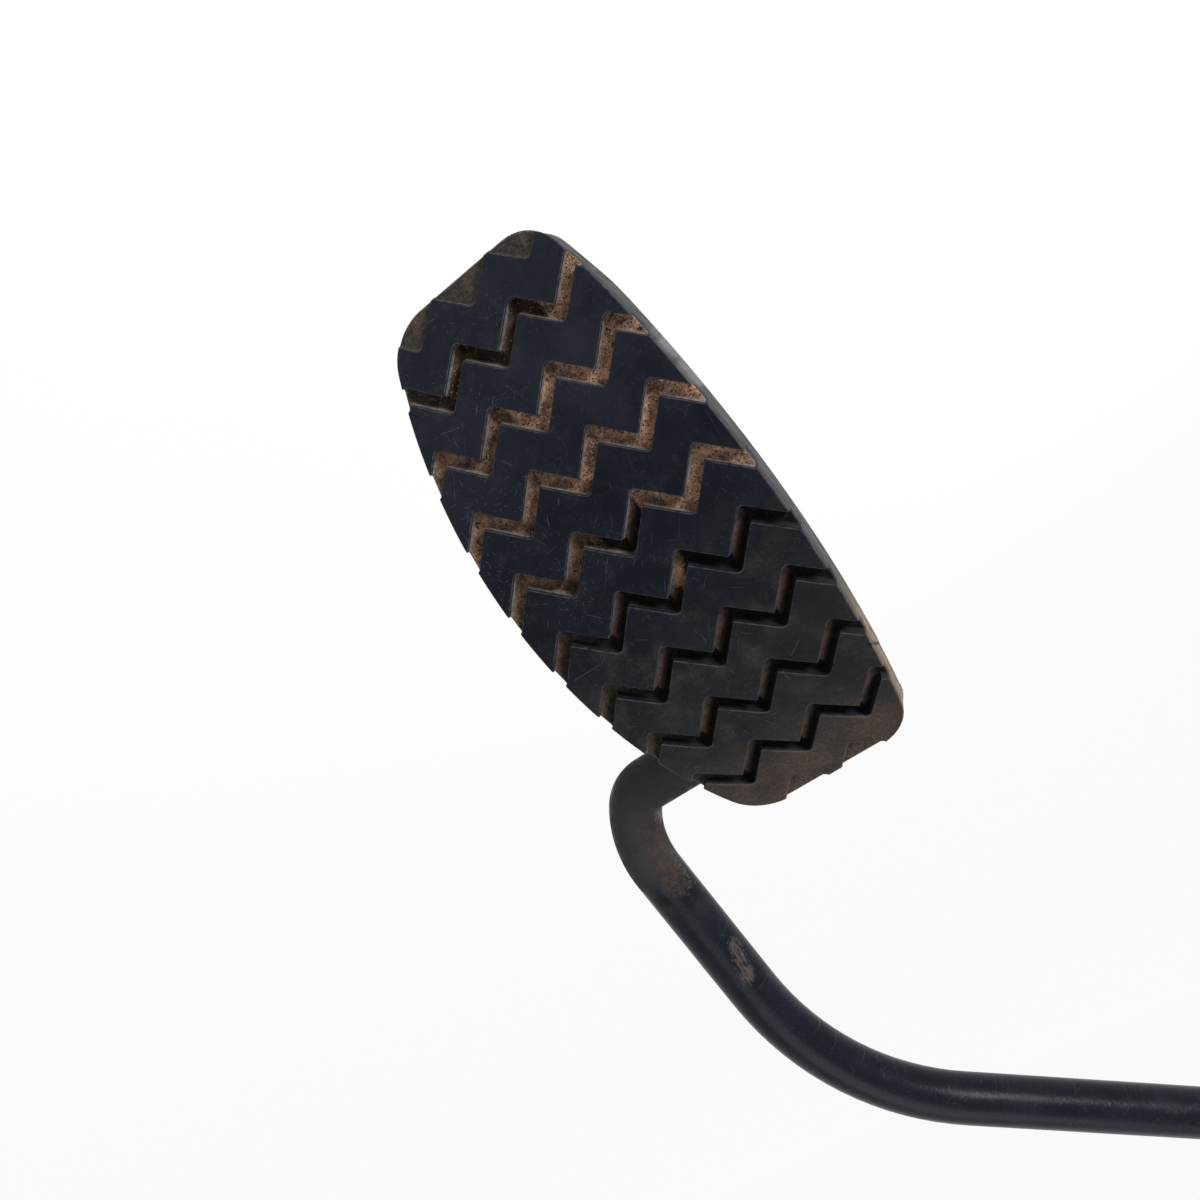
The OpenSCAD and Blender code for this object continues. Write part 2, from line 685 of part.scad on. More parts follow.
// A U with rounded outer and inner corners, open towards -Y
module fork_profile(depth) {
    difference() {
        round_u(fork_gap / 2 + fork_t, depth, fork_bend + fork_t);
        translate([0, -fork_t]) round_u(fork_gap / 2, depth, fork_bend);
    }
}

module round_u(half, depth, r) {
    translate([-half + r, -depth]) square([2 * (half - r), depth]);
    translate([-half, -depth]) square([2 * half, depth - r]);
    for (side = [-1, 1]) translate([side * (half - r), -r]) circle(r = r, $fn = round_fn);
}

module shaft_bush(outward) {
    inner = rod_r + run_fit;
    outer = inner + bush_wall;
    x = outward > 0 ? ear_r_out - bush_length : ear_l_out;
    flange_x = outward > 0 ? ear_r_out + seat_fit : ear_l_out - bush_flange_t - seat_fit;
    color([0.80, 0.79, 0.74]) {
        shaft_ring(x - seat_fit, bush_length + 2 * seat_fit, outer, inner);
        shaft_ring(flange_x, bush_flange_t, outer + bush_flange_w, inner);
    }
}

module shaft_bush_right() {
    shaft_bush(1);
}

module shaft_bush_left() {
    shaft_bush(-1);
}

// A thin ring whose height runs through three waves in one turn
module wave_washer() {
    steps = 48;
    radii = [rod_r + washer_gap, washer_r];
    function wave(i) = wave_h / 2 * cos(360 * 3 * i / steps);
    points = [for (i = [0:steps - 1]) let (a = 360 * i / steps)
        for (k = [0:3]) let (r = radii[k == 0 || k == 3 ? 0 : 1], z = wave(i) + (k < 2 ? 0 : wave_t))
            [r * cos(a), r * sin(a), z]];
    faces = [for (i = [0:steps - 1]) for (k = [0:3]) let (n = (i + 1) % steps, m = (k + 1) % 4)
        each [[4 * i + k, 4 * n + k, 4 * n + m], [4 * i + k, 4 * n + m, 4 * i + m]]];
    color([0.55, 0.54, 0.52]) on_shaft(wave_x - wave_h / 2 - wave_t) polyhedron(points, faces, 10);
}

module plain_washer() {
    color([0.52, 0.51, 0.49]) shaft_ring(washer_x - washer_t, washer_t, washer_r, rod_r + washer_gap);
}

// A spring clip: three tongues reach into the groove and its mouth is open downwards
module shaft_clip() {
    grip = rod_r - clip_groove + seat_fit;
    mouth = 0.85 * grip;
    color([0.30, 0.30, 0.31]) on_shaft(clip_x - clip_t) difference() {
        cylinder(r = clip_r, h = clip_t, $fn = round_fn);
        hole(grip, clip_t);
        translate([0, -mouth, -1]) cube([clip_r + 1, 2 * mouth, clip_t + 2]);
        for (a = [125, 235]) rotate([0, 0, a]) translate([rod_r, 0, 0]) hole(1.6 * clip_groove, clip_t);
    }
}

// The rubber buffer that the lever rests on: a neck in the plate, a foot and a domed tip
module idle_buffer() {
    height = -buffer_face_y - base_t;
    dome = 1.5;
    color([0.07, 0.07, 0.08]) translate([lever_mid, -base_t, buffer_up]) rotate([90, 0, 0]) {
        translate([0, 0, end_inset - base_t]) cylinder(r = neck_r, h = base_t, $fn = round_fn);
        translate([0, 0, seat_fit])
            cylinder(r1 = buffer_foot_r, r2 = buffer_tip_r, h = height - dome - seat_fit, $fn = round_fn);
        translate([0, 0, height - dome])
            cylinder(r1 = buffer_tip_r, r2 = buffer_tip_r - dome, h = dome, $fn = round_fn);
    }
}

// Moves its children onto the stop screw's line, with Z from the mounting plate to the lever
module on_screw(z) {
    translate([lever_mid, -base_t - z, tail_travel_z]) rotate([90, 0, 0]) children();
}

module hex_nut(t, r) {
    difference() {
        cylinder(d = hex_flats / cos(30), h = t, $fn = 6);
        hole(r, t);
    }
}

module stop_screw() {
    top = -head_y - base_t;
    color([0.50, 0.46, 0.38]) on_screw(0) {
        translate([0, 0, end_inset - base_t])
            cylinder(r = screw_r, h = top - head_t + base_t, $fn = round_fn);
        translate([0, 0, top - head_t]) cylinder(d = hex_flats / cos(30), h = head_t, $fn = 6);
    }
}

module stop_lock_nut() {
    color([0.50, 0.46, 0.38]) on_screw(weld_nut_t + 2 * seat_fit) hex_nut(lock_nut_t, screw_r + seat_fit);
}

module stop_weld_nut() {
    color([0.42, 0.40, 0.36]) on_screw(seat_fit) hex_nut(weld_nut_t, screw_r + seat_fit);
}

tread_pad();
pad_plate();
stop_pin();
pad_spring();
pedal_rod();
cable_lever();
cable_bush();
spring_spool();
return_spring();
mounting_plate();
pivot_fork();
shaft_bush_right();
shaft_bush_left();
wave_washer();
plain_washer();
shaft_clip();
idle_buffer();
stop_screw();
stop_lock_nut();
stop_weld_nut();
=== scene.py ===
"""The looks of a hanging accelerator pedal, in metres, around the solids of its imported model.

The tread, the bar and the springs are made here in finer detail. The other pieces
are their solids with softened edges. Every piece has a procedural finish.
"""
import json
import math

import bmesh
import bpy
import numpy as np
from mathutils import Matrix, Vector, geometry


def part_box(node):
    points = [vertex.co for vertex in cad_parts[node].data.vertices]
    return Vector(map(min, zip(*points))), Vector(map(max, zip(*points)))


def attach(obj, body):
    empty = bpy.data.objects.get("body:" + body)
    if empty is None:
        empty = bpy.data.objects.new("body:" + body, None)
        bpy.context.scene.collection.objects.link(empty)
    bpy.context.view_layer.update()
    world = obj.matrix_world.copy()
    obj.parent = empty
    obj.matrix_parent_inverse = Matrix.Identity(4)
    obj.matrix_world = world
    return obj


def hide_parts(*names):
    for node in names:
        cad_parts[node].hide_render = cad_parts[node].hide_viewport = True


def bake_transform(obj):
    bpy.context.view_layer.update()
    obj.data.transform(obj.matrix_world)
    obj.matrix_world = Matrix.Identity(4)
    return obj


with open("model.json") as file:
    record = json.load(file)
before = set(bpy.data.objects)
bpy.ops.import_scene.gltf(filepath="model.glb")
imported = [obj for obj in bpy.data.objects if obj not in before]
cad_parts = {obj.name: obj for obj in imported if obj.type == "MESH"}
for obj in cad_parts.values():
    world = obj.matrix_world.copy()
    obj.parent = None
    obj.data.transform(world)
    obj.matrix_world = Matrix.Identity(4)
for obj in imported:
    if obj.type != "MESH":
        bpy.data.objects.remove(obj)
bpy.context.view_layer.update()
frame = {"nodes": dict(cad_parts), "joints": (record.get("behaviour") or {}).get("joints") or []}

MM = 0.001
SCENE = bpy.context.scene

# Sizes of the pad and the bar, in millimetres, as in the part's source
PAD_LENGTH, PAD_WIDTH = 105.4, 46.8
SIDE_RADIUS, CORNER_RADIUS, BOW_RADIUS = 180.0, 8.5, 91.7
TREAD_T, PLATE_T, LIP_T, RIM_W, LIP_REACH = 3.7, 1.5, 1.3, 1.8, 1.8
GROOVE_DEPTH, GROOVE_WIDTH = 2.7, 2.3
ZIGZAG_PITCH, GROOVE_PITCH, GROOVE_COUNT, PATTERN_SHIFT = 11.8, 11.56, 10, 0.54
PAD_RAKE = math.radians(50)
ROD_D, HINGE_UP, LEG_OFFSET, LEG_TOP = 10.0, 37.9, 40.8, 111.9
HINGE_GAP, HINGE_STUB, LUG_OFFSET, ROD_CHAMFER = 0.4, 1.6, 13.0, 0.8
CROOK_ANGLE, CROOK_RADIUS, SWEEP_RADIUS = math.radians(51), 6.7, 21.4
LEG_BEND, LEG_ROLL, LEG_RADIUS = math.radians(45.4), math.radians(21.8), 65.3
ARM_LENGTH, SHAFT_RADIUS, SHAFT_STANDOFF = 120.0, 22.0, 26.0
NOTCH_HALF, SEAT_FIT = 5.8, 0.04

# The lever and the springs: wire, turns, where each leg ends, and the gaps about them
CLIP_GROOVE, LEVER_W, BASE_T, RUN_FIT, STOP_GAP = 1.0, 13.0, 3.0, 0.06, 0.3
RETURN_WIRE_D, RETURN_TURNS, SPOOL_WALL, RETURN_LEG, RETURN_HOOK = 2.2, 4, 1.9, -20.0, 20.0
PAD_WIRE_D, PAD_TURNS, STOP_PIN_R, PAD_LEG, PAD_TILT = 1.2, 4, 2.0, -13.0, 15
WIRE_GAP, COIL_SPACING = 0.3, 1.08

# Values that follow from them: layers of the pad, and the bar's axis under it
ROD_R = ROD_D / 2
PLATE_TOP = BOW_RADIUS - TREAD_T
PLATE_BACK = PLATE_TOP - PLATE_T
PAD_BOTTOM = PLATE_BACK - LIP_T
HINGE_RADIUS = PLATE_BACK - HINGE_GAP - ROD_R
HINGE_TILT = math.asin(HINGE_UP / HINGE_RADIUS)
HINGE_Z = HINGE_RADIUS * math.cos(HINGE_TILT) - BOW_RADIUS

joints = {joint["name"]: joint for joint in frame["joints"]}
hinge_at = Vector(joints["pad_hinge"]["pos_m"]) / MM
pad_to_row = (Matrix.Translation(hinge_at) @ Matrix.Rotation(PAD_RAKE, 4, "X")
              @ Matrix.Translation((0, -HINGE_UP, -HINGE_Z)))
hinge_to_row = pad_to_row @ Matrix.Translation((0, HINGE_UP, HINGE_Z)) @ Matrix.Rotation(-HINGE_TILT, 4, "X")
shaft_to_row = Matrix.Translation((0, -SHAFT_STANDOFF, 0))


# ---- Camera, lamps and floor

# The photograph's frame, the focal length fitted to it in pixels, and the sensor in millimetres
FRAME_PIXELS, FOCAL_PIXELS, SENSOR_WIDTH = 1200, 1085.97, 36.0
CAMERA_PLACE = (0.018120, -0.326889, -0.031743)
FLOOR_Z, FLOOR_HALF = -0.62, 40.0

# Each lamp's name, place, size across and power; all of them face the same place on the object
LAMPS = (("key", (-0.90, -0.63, 0.00), 0.45, 14.0),
         ("fill", (0.80, -0.95, 0.35), 0.9, 3.0),
         ("top", (0.10, -0.30, 1.00), 0.8, 4.0),
         ("back", (-0.30, 0.95, 0.20), 0.7, 6.0))
LAMPS_FACE = Vector((0.04, -0.16, -0.10))
# The world's light and what is added to it where it is seen
WORLD_LIGHT, WORLD_SEEN = 0.42, 0.53
# The floor's tone, and the white that takes over most of it where it is seen
FLOOR_TONE, FLOOR_WHITE, FLOOR_SEEN = 0.80, 1.03, 0.88


def set_camera():
    """The photograph's view: the camera looks down on the tread, with the pad's lower end up."""
    right = Vector((-0.768087, 0.543597, 0.338445))
    down = Vector((0.537746, 0.260605, 0.801819))
    ahead = Vector((0.347666, 0.797864, -0.492485))
    camera = bpy.data.objects.new("camera", bpy.data.cameras.new("camera"))
    SCENE.collection.objects.link(camera)
    turn = Matrix((right, -down, -ahead)).transposed().to_4x4()
    camera.matrix_world = Matrix.Translation(CAMERA_PLACE) @ turn
    camera.data.sensor_width = SENSOR_WIDTH
    camera.data.lens = SENSOR_WIDTH * FOCAL_PIXELS / FRAME_PIXELS
    camera.data.clip_start = 0.005
    SCENE.camera = camera


def set_lamps():
    """Four soft discs of light, and a world that is brighter where it is seen than where it lights."""
    for name, place, size, watts in LAMPS:
        lamp = bpy.data.lights.new(name, "AREA")
        lamp.shape, lamp.size, lamp.energy = "DISK", size, watts
        holder = bpy.data.objects.new(name, lamp)
        SCENE.collection.objects.link(holder)
        turn = (Vector(place) - LAMPS_FACE).to_track_quat("Z", "Y").to_matrix().to_4x4()
        holder.matrix_world = Matrix.Translation(place) @ turn
    world = bpy.data.worlds.new("studio")
    SCENE.world = world
    world.use_nodes = True
    tree = Tree(world.node_tree)
    background = world.node_tree.nodes["Background"]
    strength = tree.plus(WORLD_LIGHT, tree.times(tree.seen(), WORLD_SEEN))
    world.node_tree.links.new(strength, background.inputs["Strength"])
    background.inputs["Color"].default_value = (1, 1, 1, 1)


def lay_floor():
    """A pale floor well below the hanging pedal. It shows white, and still takes a soft shadow."""
    bm = bmesh.new()
    bmesh.ops.create_grid(bm, x_segments=1, y_segments=1, size=FLOOR_HALF)
    bmesh.ops.translate(bm, verts=bm.verts, vec=(0, 0, FLOOR_Z))
    floor = new_piece("floor", bm)
    material = bpy.data.materials.new("pale_floor")
    material.use_nodes = True
    tree = Tree(material.node_tree)
    shader = material.node_tree.nodes["Principled BSDF"]
    shader.inputs["Base Color"].default_value = (FLOOR_TONE, FLOOR_TONE, FLOOR_TONE, 1)
    shader.inputs["Roughness"].default_value = 0.9
    white = tree.add("ShaderNodeEmission", {"Strength": FLOOR_WHITE})
    share = tree.times(tree.seen(), FLOOR_SEEN)
    both = tree.add("ShaderNodeMixShader", {0: share, 1: shader.outputs[0], 2: white.outputs[0]})
    material.node_tree.links.new(both.outputs[0], material.node_tree.nodes["Material Output"].inputs[0])
    floor.data.materials.append(material)


# ---- Wiring of shaders

class Tree:
    """A node tree while it is being wired. Its calls add a node each and give back what it puts out."""

    def __init__(self, tree):
        self.nodes, self.links = tree.nodes, tree.links

    def add(self, kind, inputs=None, **settings):
        node = self.nodes.new(kind)
        for name, value in settings.items():
            setattr(node, name, value)
        for key, value in (inputs or {}).items():
            socket = node.inputs[key]
            if isinstance(value, bpy.types.NodeSocket):
                self.links.new(value, socket)
            elif socket.type == "RGBA":
                socket.default_value = (*value[:3], 1)
            else:
                socket.default_value = value
        return node

    def out(self, kind, inputs=None, **settings):
        """The first thing that a new node puts out."""
        return self.add(kind, inputs, **settings).outputs[0]

    def math(self, operation, a, b=0.0, clamp=False):
        return self.out("ShaderNodeMath", {0: a, 1: b}, operation=operation, use_clamp=clamp)

    def chain(self, operation, values, clamp=False):
        """Values joined from left to right by one operation; clamp holds the result between 0 and 1."""
        *firsts, last = values
        joined = firsts[0]
        for value in firsts[1:]:
            joined = self.math(operation, joined, value)
        return self.math(operation, joined, last, clamp)

    def times(self, *values, clamp=False):
        return self.chain("MULTIPLY", values, clamp)

    def plus(self, *values):
        return self.chain("ADD", values)

    def most(self, *values):
        return self.chain("MAXIMUM", values)

    def less(self, a, b):
        return self.math("SUBTRACT", a, b)

    def minus(self, value):
        return self.math("SUBTRACT", 0.0, value)

    def vector(self, operation, a, b, output=0):
        return self.add("ShaderNodeVectorMath", {0: a, 1: b}, operation=operation).outputs[output]

    def band(self, value, low, high):
        """0 below low, 1 above high and smooth between them; the other way round if low is higher."""
        if low < high:
            limits = {"From Min": low, "From Max": high, "To Min": 0.0, "To Max": 1.0}
        else:
            limits = {"From Min": high, "From Max": low, "To Min": 1.0, "To Max": 0.0}
        return self.out("ShaderNodeMapRange", {"Value": value, **limits}, interpolation_type="SMOOTHSTEP")

    def mix(self, share, a, b):
        return self.add("ShaderNodeMix", {0: share, 6: a, 7: b}, data_type="RGBA").outputs[2]

    def coat(self, under, mask, share, over):
        """One colour over another where the mask is 1, as thick as the share."""
        return self.mix(self.times(mask, share), under, over)

    def blend(self, share, a, b):
        return self.out("ShaderNodeMix", {0: share, 2: a, 3: b})

    def noise(self, position, scale, detail=3.0, roughness=0.55):
        return self.out("ShaderNodeTexNoise", {"Vector": position, "Scale": scale, "Detail": detail,
                                               "Roughness": roughness})

    def stretch(self, position, scale):
        return self.out("ShaderNodeMapping", {"Vector": position, "Scale": scale})

    def axes(self, position):
        return self.add("ShaderNodeSeparateXYZ", {0: position}).outputs

    def attribute(self, name):
        return self.add("ShaderNodeAttribute", attribute_name=name).outputs["Fac"]

    def seen(self):
        """1 for what the camera sees, also in a reflection or through glass."""
        path = self.add("ShaderNodeLightPath").outputs
        return self.most(path["Is Camera Ray"], path["Is Glossy Ray"], path["Is Transmission Ray"])

    def effect(self, group, **inputs):
        return self.add("ShaderNodeGroup", inputs, node_tree=group).outputs


def shader_group(name, wire, outputs=(("Mask", "Float"),), **inputs):
    """A shared effect at a position, with inputs at these values; wire gives a socket for each output."""
    group = bpy.data.node_groups.new(name, "ShaderNodeTree")
    for label, value in {"Position": (0, 0, 0), **inputs}.items():
        kind = "NodeSocketVector" if isinstance(value, tuple) else "NodeSocketFloat"
        group.interface.new_socket(name=label, in_out="INPUT", socket_type=kind).default_value = value
    for label, kind in outputs:
        group.interface.new_socket(name=label, in_out="OUTPUT", socket_type="NodeSocket" + kind)
    tree = Tree(group)
    given = tree.add("NodeGroupInput").outputs
    result = tree.add("NodeGroupOutput")
    for label, socket in wire(tree, given).items():
        tree.links.new(socket, result.inputs[label])
    return group


def wire_edge_wear(tree, given):
    """Ragged patches along the edges."""
    ragged = tree.noise(given["Position"], given["Scale"], 4.0, 0.65)
    worn = tree.plus(tree.times(given["Edge"], given["Amount"]), tree.times(tree.less(ragged, 0.5), 1.3))
    return {"Mask": tree.band(worn, 0.42, 0.72)}


# Four sizes of hairline in millimetres: cell, half length, half width, and how far its pattern is moved
HAIRLINES = ((0.9, 0.45, 0.050, 0.0), (1.7, 0.8, 0.050, 13.0), (2.9, 1.5, 0.055, 31.0),
             (6.5, 3.8, 0.050, 67.0))


def wire_scratches(tree, given):
    """Short hairlines across the XY plane: one to a cell, each with its own direction and strength."""
    found = None
    for cell, length, width, offset in HAIRLINES:
        bent = tree.times(tree.noise(given["Position"], 0.6 / cell, 2.0), 0.3 * cell)
        moved = tree.vector("ADD", given["Position"],
                            tree.out("ShaderNodeCombineXYZ", {0: bent, 1: offset, 2: bent}))
        scaled = tree.stretch(moved, (1 / cell,) * 3)
        cells = tree.add("ShaderNodeTexVoronoi", {"Vector": scaled, "Scale": 1.0},
                         voronoi_dimensions="2D").outputs
        middle = tree.stretch(cells["Position"], (cell,) * 3)
        x, y, _ = tree.axes(tree.vector("SUBTRACT", moved, middle))
        chance, spin, _ = tree.axes(cells["Color"])
        spin = tree.times(spin, 6.283)
        c, s = tree.math("COSINE", spin), tree.math("SINE", spin)
        run = tree.math("ABSOLUTE", tree.plus(tree.times(x, c), tree.times(y, s)))
        gap = tree.math("ABSOLUTE", tree.less(tree.times(y, c), tree.times(x, s)))
        line = tree.times(tree.band(gap, width, 0.3 * width), tree.band(run, length, 0.3 * length))
        patches = tree.band(tree.noise(moved, 0.13, 4.0), 0.42, 0.62)
        line = tree.times(line, tree.times(tree.band(chance, 0.30, 1.0), patches))
        found = line if found is None else tree.most(found, line)
    return {"Mask": tree.times(found, given["Amount"])}


def wire_grime(tree, given):
    """Patches with soft rims, and more of them with a higher cover."""
    cloud = tree.noise(given["Position"], given["Scale"], 6.0, 0.62)
    level = tree.less(tree.plus(cloud, given["Cover"]), 0.62)
    return {"Mask": tree.times(level, 6.0, clamp=True)}


def wire_rust(tree, given):
    """Brown in three tones, and the height of its grain."""
    coarse = tree.noise(given["Position"], tree.times(given["Scale"], 0.25), 4.0, 0.6)
    fine = tree.noise(given["Position"], tree.times(given["Scale"], 1.6), 5.0, 0.7)
    colour = tree.mix(tree.band(coarse, 0.38, 0.62), (0.042, 0.028, 0.021), (0.150, 0.088, 0.058))
    colour = tree.mix(tree.band(fine, 0.50, 0.72), colour, (0.240, 0.160, 0.110))
    colour = tree.out("ShaderNodeVectorMath", {0: colour, "Scale": given["Brightness"]}, operation="SCALE")
    return {"Color": colour, "Height": fine}


def wire_mark(tree, given):
    """Nearness to the line from Start to End, with a ragged rim."""
    along = tree.vector("SUBTRACT", given["End"], given["Start"])
    reach = tree.vector("SUBTRACT", given["Position"], given["Start"])
    share = tree.math("DIVIDE", tree.vector("DOT_PRODUCT", reach, along, 1),
                      tree.vector("DOT_PRODUCT", along, along, 1), clamp=True)
    foot = tree.out("ShaderNodeVectorMath", {0: along, "Scale": share}, operation="SCALE")
    gap = tree.vector("DISTANCE", reach, foot, 1)
    ragged = tree.times(tree.less(tree.noise(given["Position"], given["Ragged"], 4.0), 0.5), 1.6)
    near = tree.less(1.0, tree.math("DIVIDE", gap, given["Width"]))
    return {"Mask": tree.band(tree.plus(near, ragged), 0.0, 0.55)}


edge_wear = shader_group("edge wear", wire_edge_wear, Edge=0.0, Scale=1.0, Amount=1.0)
scratches = shader_group("fine scratches", wire_scratches, Amount=1.0)
grime = shader_group("grime", wire_grime, Scale=1.0, Cover=0.2)
rust = shader_group("rust", wire_rust, (("Color", "Color"), ("Height", "Float")), Scale=1.0, Brightness=1.0)
mark = shader_group("mark", wire_mark, Start=(0, 0, 0), End=(1, 0, 0), Width=1.0, Ragged=1.0)


class Finish(Tree):
    """A material whose patterns are placed in millimetres, in the row frame or in another one."""

    def __init__(self, name, to_row=Matrix.Identity(4)):
        self.material = bpy.data.materials.new(name)
        self.material.use_nodes = True
        super().__init__(self.material.node_tree)
        self.shader = self.nodes["Principled BSDF"]
        back = to_row.inverted()
        here = self.add("ShaderNodeTexCoord").outputs["Object"]
        self.position = self.out("ShaderNodeMapping", {"Vector": here, "Scale": (1 / MM,) * 3,
                                                       "Location": back.translation,
                                                       "Rotation": back.to_euler()})

    def plain(self, **values):
        """Sets values that are the same all over the surface."""
        for name, value in values.items():
            self.shader.inputs[name.replace("_", " ")].default_value = value

    def varied(self, **sockets):
        for name, socket in sockets.items():
            self.links.new(socket, self.shader.inputs[name.replace("_", " ")])

    def bumped(self, *layers):
        """Bump layers of (height socket, depth in millimetres), laid one on the other."""
        normal = None
        for height, depth in layers:
            inputs = {"Height": height, "Strength": 1.0, "Distance": depth * MM}
            if normal is not None:
                inputs["Normal"] = normal
            normal = self.out("ShaderNodeBump", inputs)
        self.varied(Normal=normal)

    def marks(self, lines, width, ragged, at=None):
        """The strongest of several marks, each from one point to another."""
        found = [self.effect(mark, Position=at or self.position, Start=start, End=end, Width=width,
                             Ragged=ragged)["Mask"] for start, end in lines]
        return self.most(*found) if len(found) > 1 else found[0]

    def patches(self, low, high, *noise):
        """Soft patches from 0 to 1, between two levels of a noise."""
        return self.band(self.noise(self.position, *noise), low, high)

    def grimy(self, scale, cover):
        return self.effect(grime, Position=self.position, Scale=scale, Cover=cover)["Mask"]

    def gritty(self, dark, light):
        """Two tones in grains of half a millimetre."""
        return self.mix(self.patches(0.38, 0.64, 1.5, 5.0, 0.75), dark, light)

    def worn(self, scale, amount):
        """Ragged wear along the edges that the piece's attribute marks."""
        return self.effect(edge_wear, Position=self.position, Edge=self.attribute("edge"), Scale=scale,
                           Amount=amount)["Mask"]


# ---- Finishes

def make_tread_finish():
    """Worn black rubber: bluish above, greyer below, brown dust at one end and dirt in the grooves, with
    painted light and shade on the groove walls and a painted highlight on one long side.

    Above and below are as the camera sees the pad, with the pad's own lower end above.
    """
    f = Finish("tread_rubber_finish", pad_to_row)
    at = f.position
    x, y, _ = f.axes(at)
    plan = f.out("ShaderNodeCombineXYZ", {"X": x, "Y": y})
    floor, wall, grit = f.attribute("groove"), f.attribute("wall"), f.attribute("grit")
    cloud = f.noise(at, 0.11, 5.0, 0.6)
    speckle = f.noise(at, 2.6, 4.0, 0.7)
    clouded = f.band(cloud, 0.32, 0.68)
    blue = f.mix(clouded, (0.0015, 0.0024, 0.0055), (0.0052, 0.0067, 0.0115))
    pale = f.mix(clouded, (0.0062, 0.0076, 0.0122), (0.0112, 0.0130, 0.0192))
    blue = f.mix(f.band(y, -8.0, -32.0), blue, pale)
    grey = f.mix(clouded, (0.0065, 0.0066, 0.0080), (0.0130, 0.0128, 0.0140))
    wavy = f.plus(y, f.times(f.less(f.noise(at, 0.07, 3.0), 0.5), 20.0))
    colour = f.mix(f.band(wavy, 4.0, 26.0), blue, grey)
    colour = f.coat(colour, f.band(speckle, 0.58, 0.76), 0.3, (0.034, 0.033, 0.034))
    haze = f.times(f.patches(0.50, 0.72, 0.30, 6.0, 0.72), f.patches(0.35, 0.65, 4.5, 3.0, 0.7))
    colour = f.mix(f.times(haze, f.blend(f.band(x, -12.0, 8.0), 0.35, 0.60)), colour, (0.026, 0.028, 0.034))
    grain = f.noise(at, 1.1, 6.0, 0.75)
    dusty_end = f.band(wavy, 33.0, 47.0)
    dusty_end = f.times(dusty_end, f.blend(grain, 0.45, 1.05), clamp=True)
    dusty_end = f.times(dusty_end, f.blend(f.patches(0.34, 0.56, 0.13, 5.0, 0.6), 0.55, 1.0))
    dusty_end = f.times(dusty_end, f.blend(f.band(x, -20.0, -12.0), 0.55, 1.0))
    dust = f.times(f.grimy(0.16, 0.13), f.blend(grain, 0.1, 0.9))
    dust = f.times(dust, f.band(y, -8.0, 22.0), 0.55)
    dirt = f.mix(f.patches(0.36, 0.66, 1.7, 6.0, 0.75), (0.042, 0.032, 0.027), (0.082, 0.060, 0.048))
    colour = f.mix(f.most(dusty_end, dust), colour, dirt)

    fine = f.effect(scratches, Position=plan, Amount=f.blend(f.band(x, -14.0, 6.0), 0.35, 0.95))["Mask"]
    cuts = f.marks([((15.3, -34.2, 0), (12.0, -33.2, 0)), ((21.0, 10.1, 0), (15.9, 10.3, 0)),
                    ((-6.5, 28.4, 0), (-6.5, 30.6, 0)), ((4.2, -41.6, 0), (2.6, -39.4, 0)),
                    ((-9.4, 27.0, 0), (-12.0, 25.4, 0))], 0.12, 3.0, plan)
    colour = f.mix(f.most(fine, f.times(cuts, 0.35)), colour, (0.062, 0.068, 0.080))
    colour = f.coat(colour, f.worn(0.9, 0.66), 0.45, (0.075, 0.067, 0.062))

    # Dirt in the grooves: brown grit over most of the upper half, thin brown at the sides and below, and
    # painted light and shade on the groove walls
    uneven = f.times(f.less(f.noise(at, 0.45, 4.0, 0.6), 0.5), 1.4)
    thick = f.times(grit, f.plus(1.0, uneven), clamp=True)
    bright = f.blend(f.band(y, -38.0, -28.0), 2.3, 3.3)
    soil = f.effect(rust, Position=at, Scale=1.0, Brightness=bright)["Color"]
    soil = f.mix(f.patches(0.54, 0.64, 0.8, 5.0, 0.7), soil, (0.034, 0.023, 0.019))
    soil = f.coat(soil, f.patches(0.58, 0.68, 2.3, 3.0, 0.8), 0.8, (0.022, 0.015, 0.012))
    soil = f.coat(soil, f.patches(0.60, 0.70, 2.9, 3.0, 0.8), 0.8, (0.430, 0.265, 0.170))
    thin = f.mix(f.patches(0.42, 0.66, 1.6, 4.0, 0.6), (0.0065, 0.0062, 0.0068), (0.018, 0.015, 0.013))
    upper_end, lower_end = f.band(y, -43.0, -47.0), f.band(y, 47.5, 50.0)
    thin = f.mix(upper_end, thin, f.gritty((0.024, 0.021, 0.020), (0.060, 0.049, 0.043)))
    thin = f.mix(lower_end, thin, f.gritty((0.060, 0.047, 0.040), (0.120, 0.090, 0.074)))
    banked = f.mix(f.patches(0.35, 0.65, 1.2, 5.0, 0.7), (0.050, 0.036, 0.029), (0.098, 0.072, 0.058))
    thin = f.coat(thin, f.attribute("bank"), 0.9, banked)
    thin = f.coat(thin, f.band(x, 11.0, 17.0), 0.8, f.gritty((0.036, 0.032, 0.030), (0.090, 0.074, 0.064)))
    soil = f.mix(f.times(thick, f.blend(upper_end, 1.0, 0.15)), thin, soil)
    clump = f.marks([((-3.6, 4.2, 0), (-3.2, 6.6, 0))], 1.9, 1.6, plan)
    soil = f.mix(clump, soil, f.gritty((0.110, 0.070, 0.048), (0.230, 0.145, 0.098)))
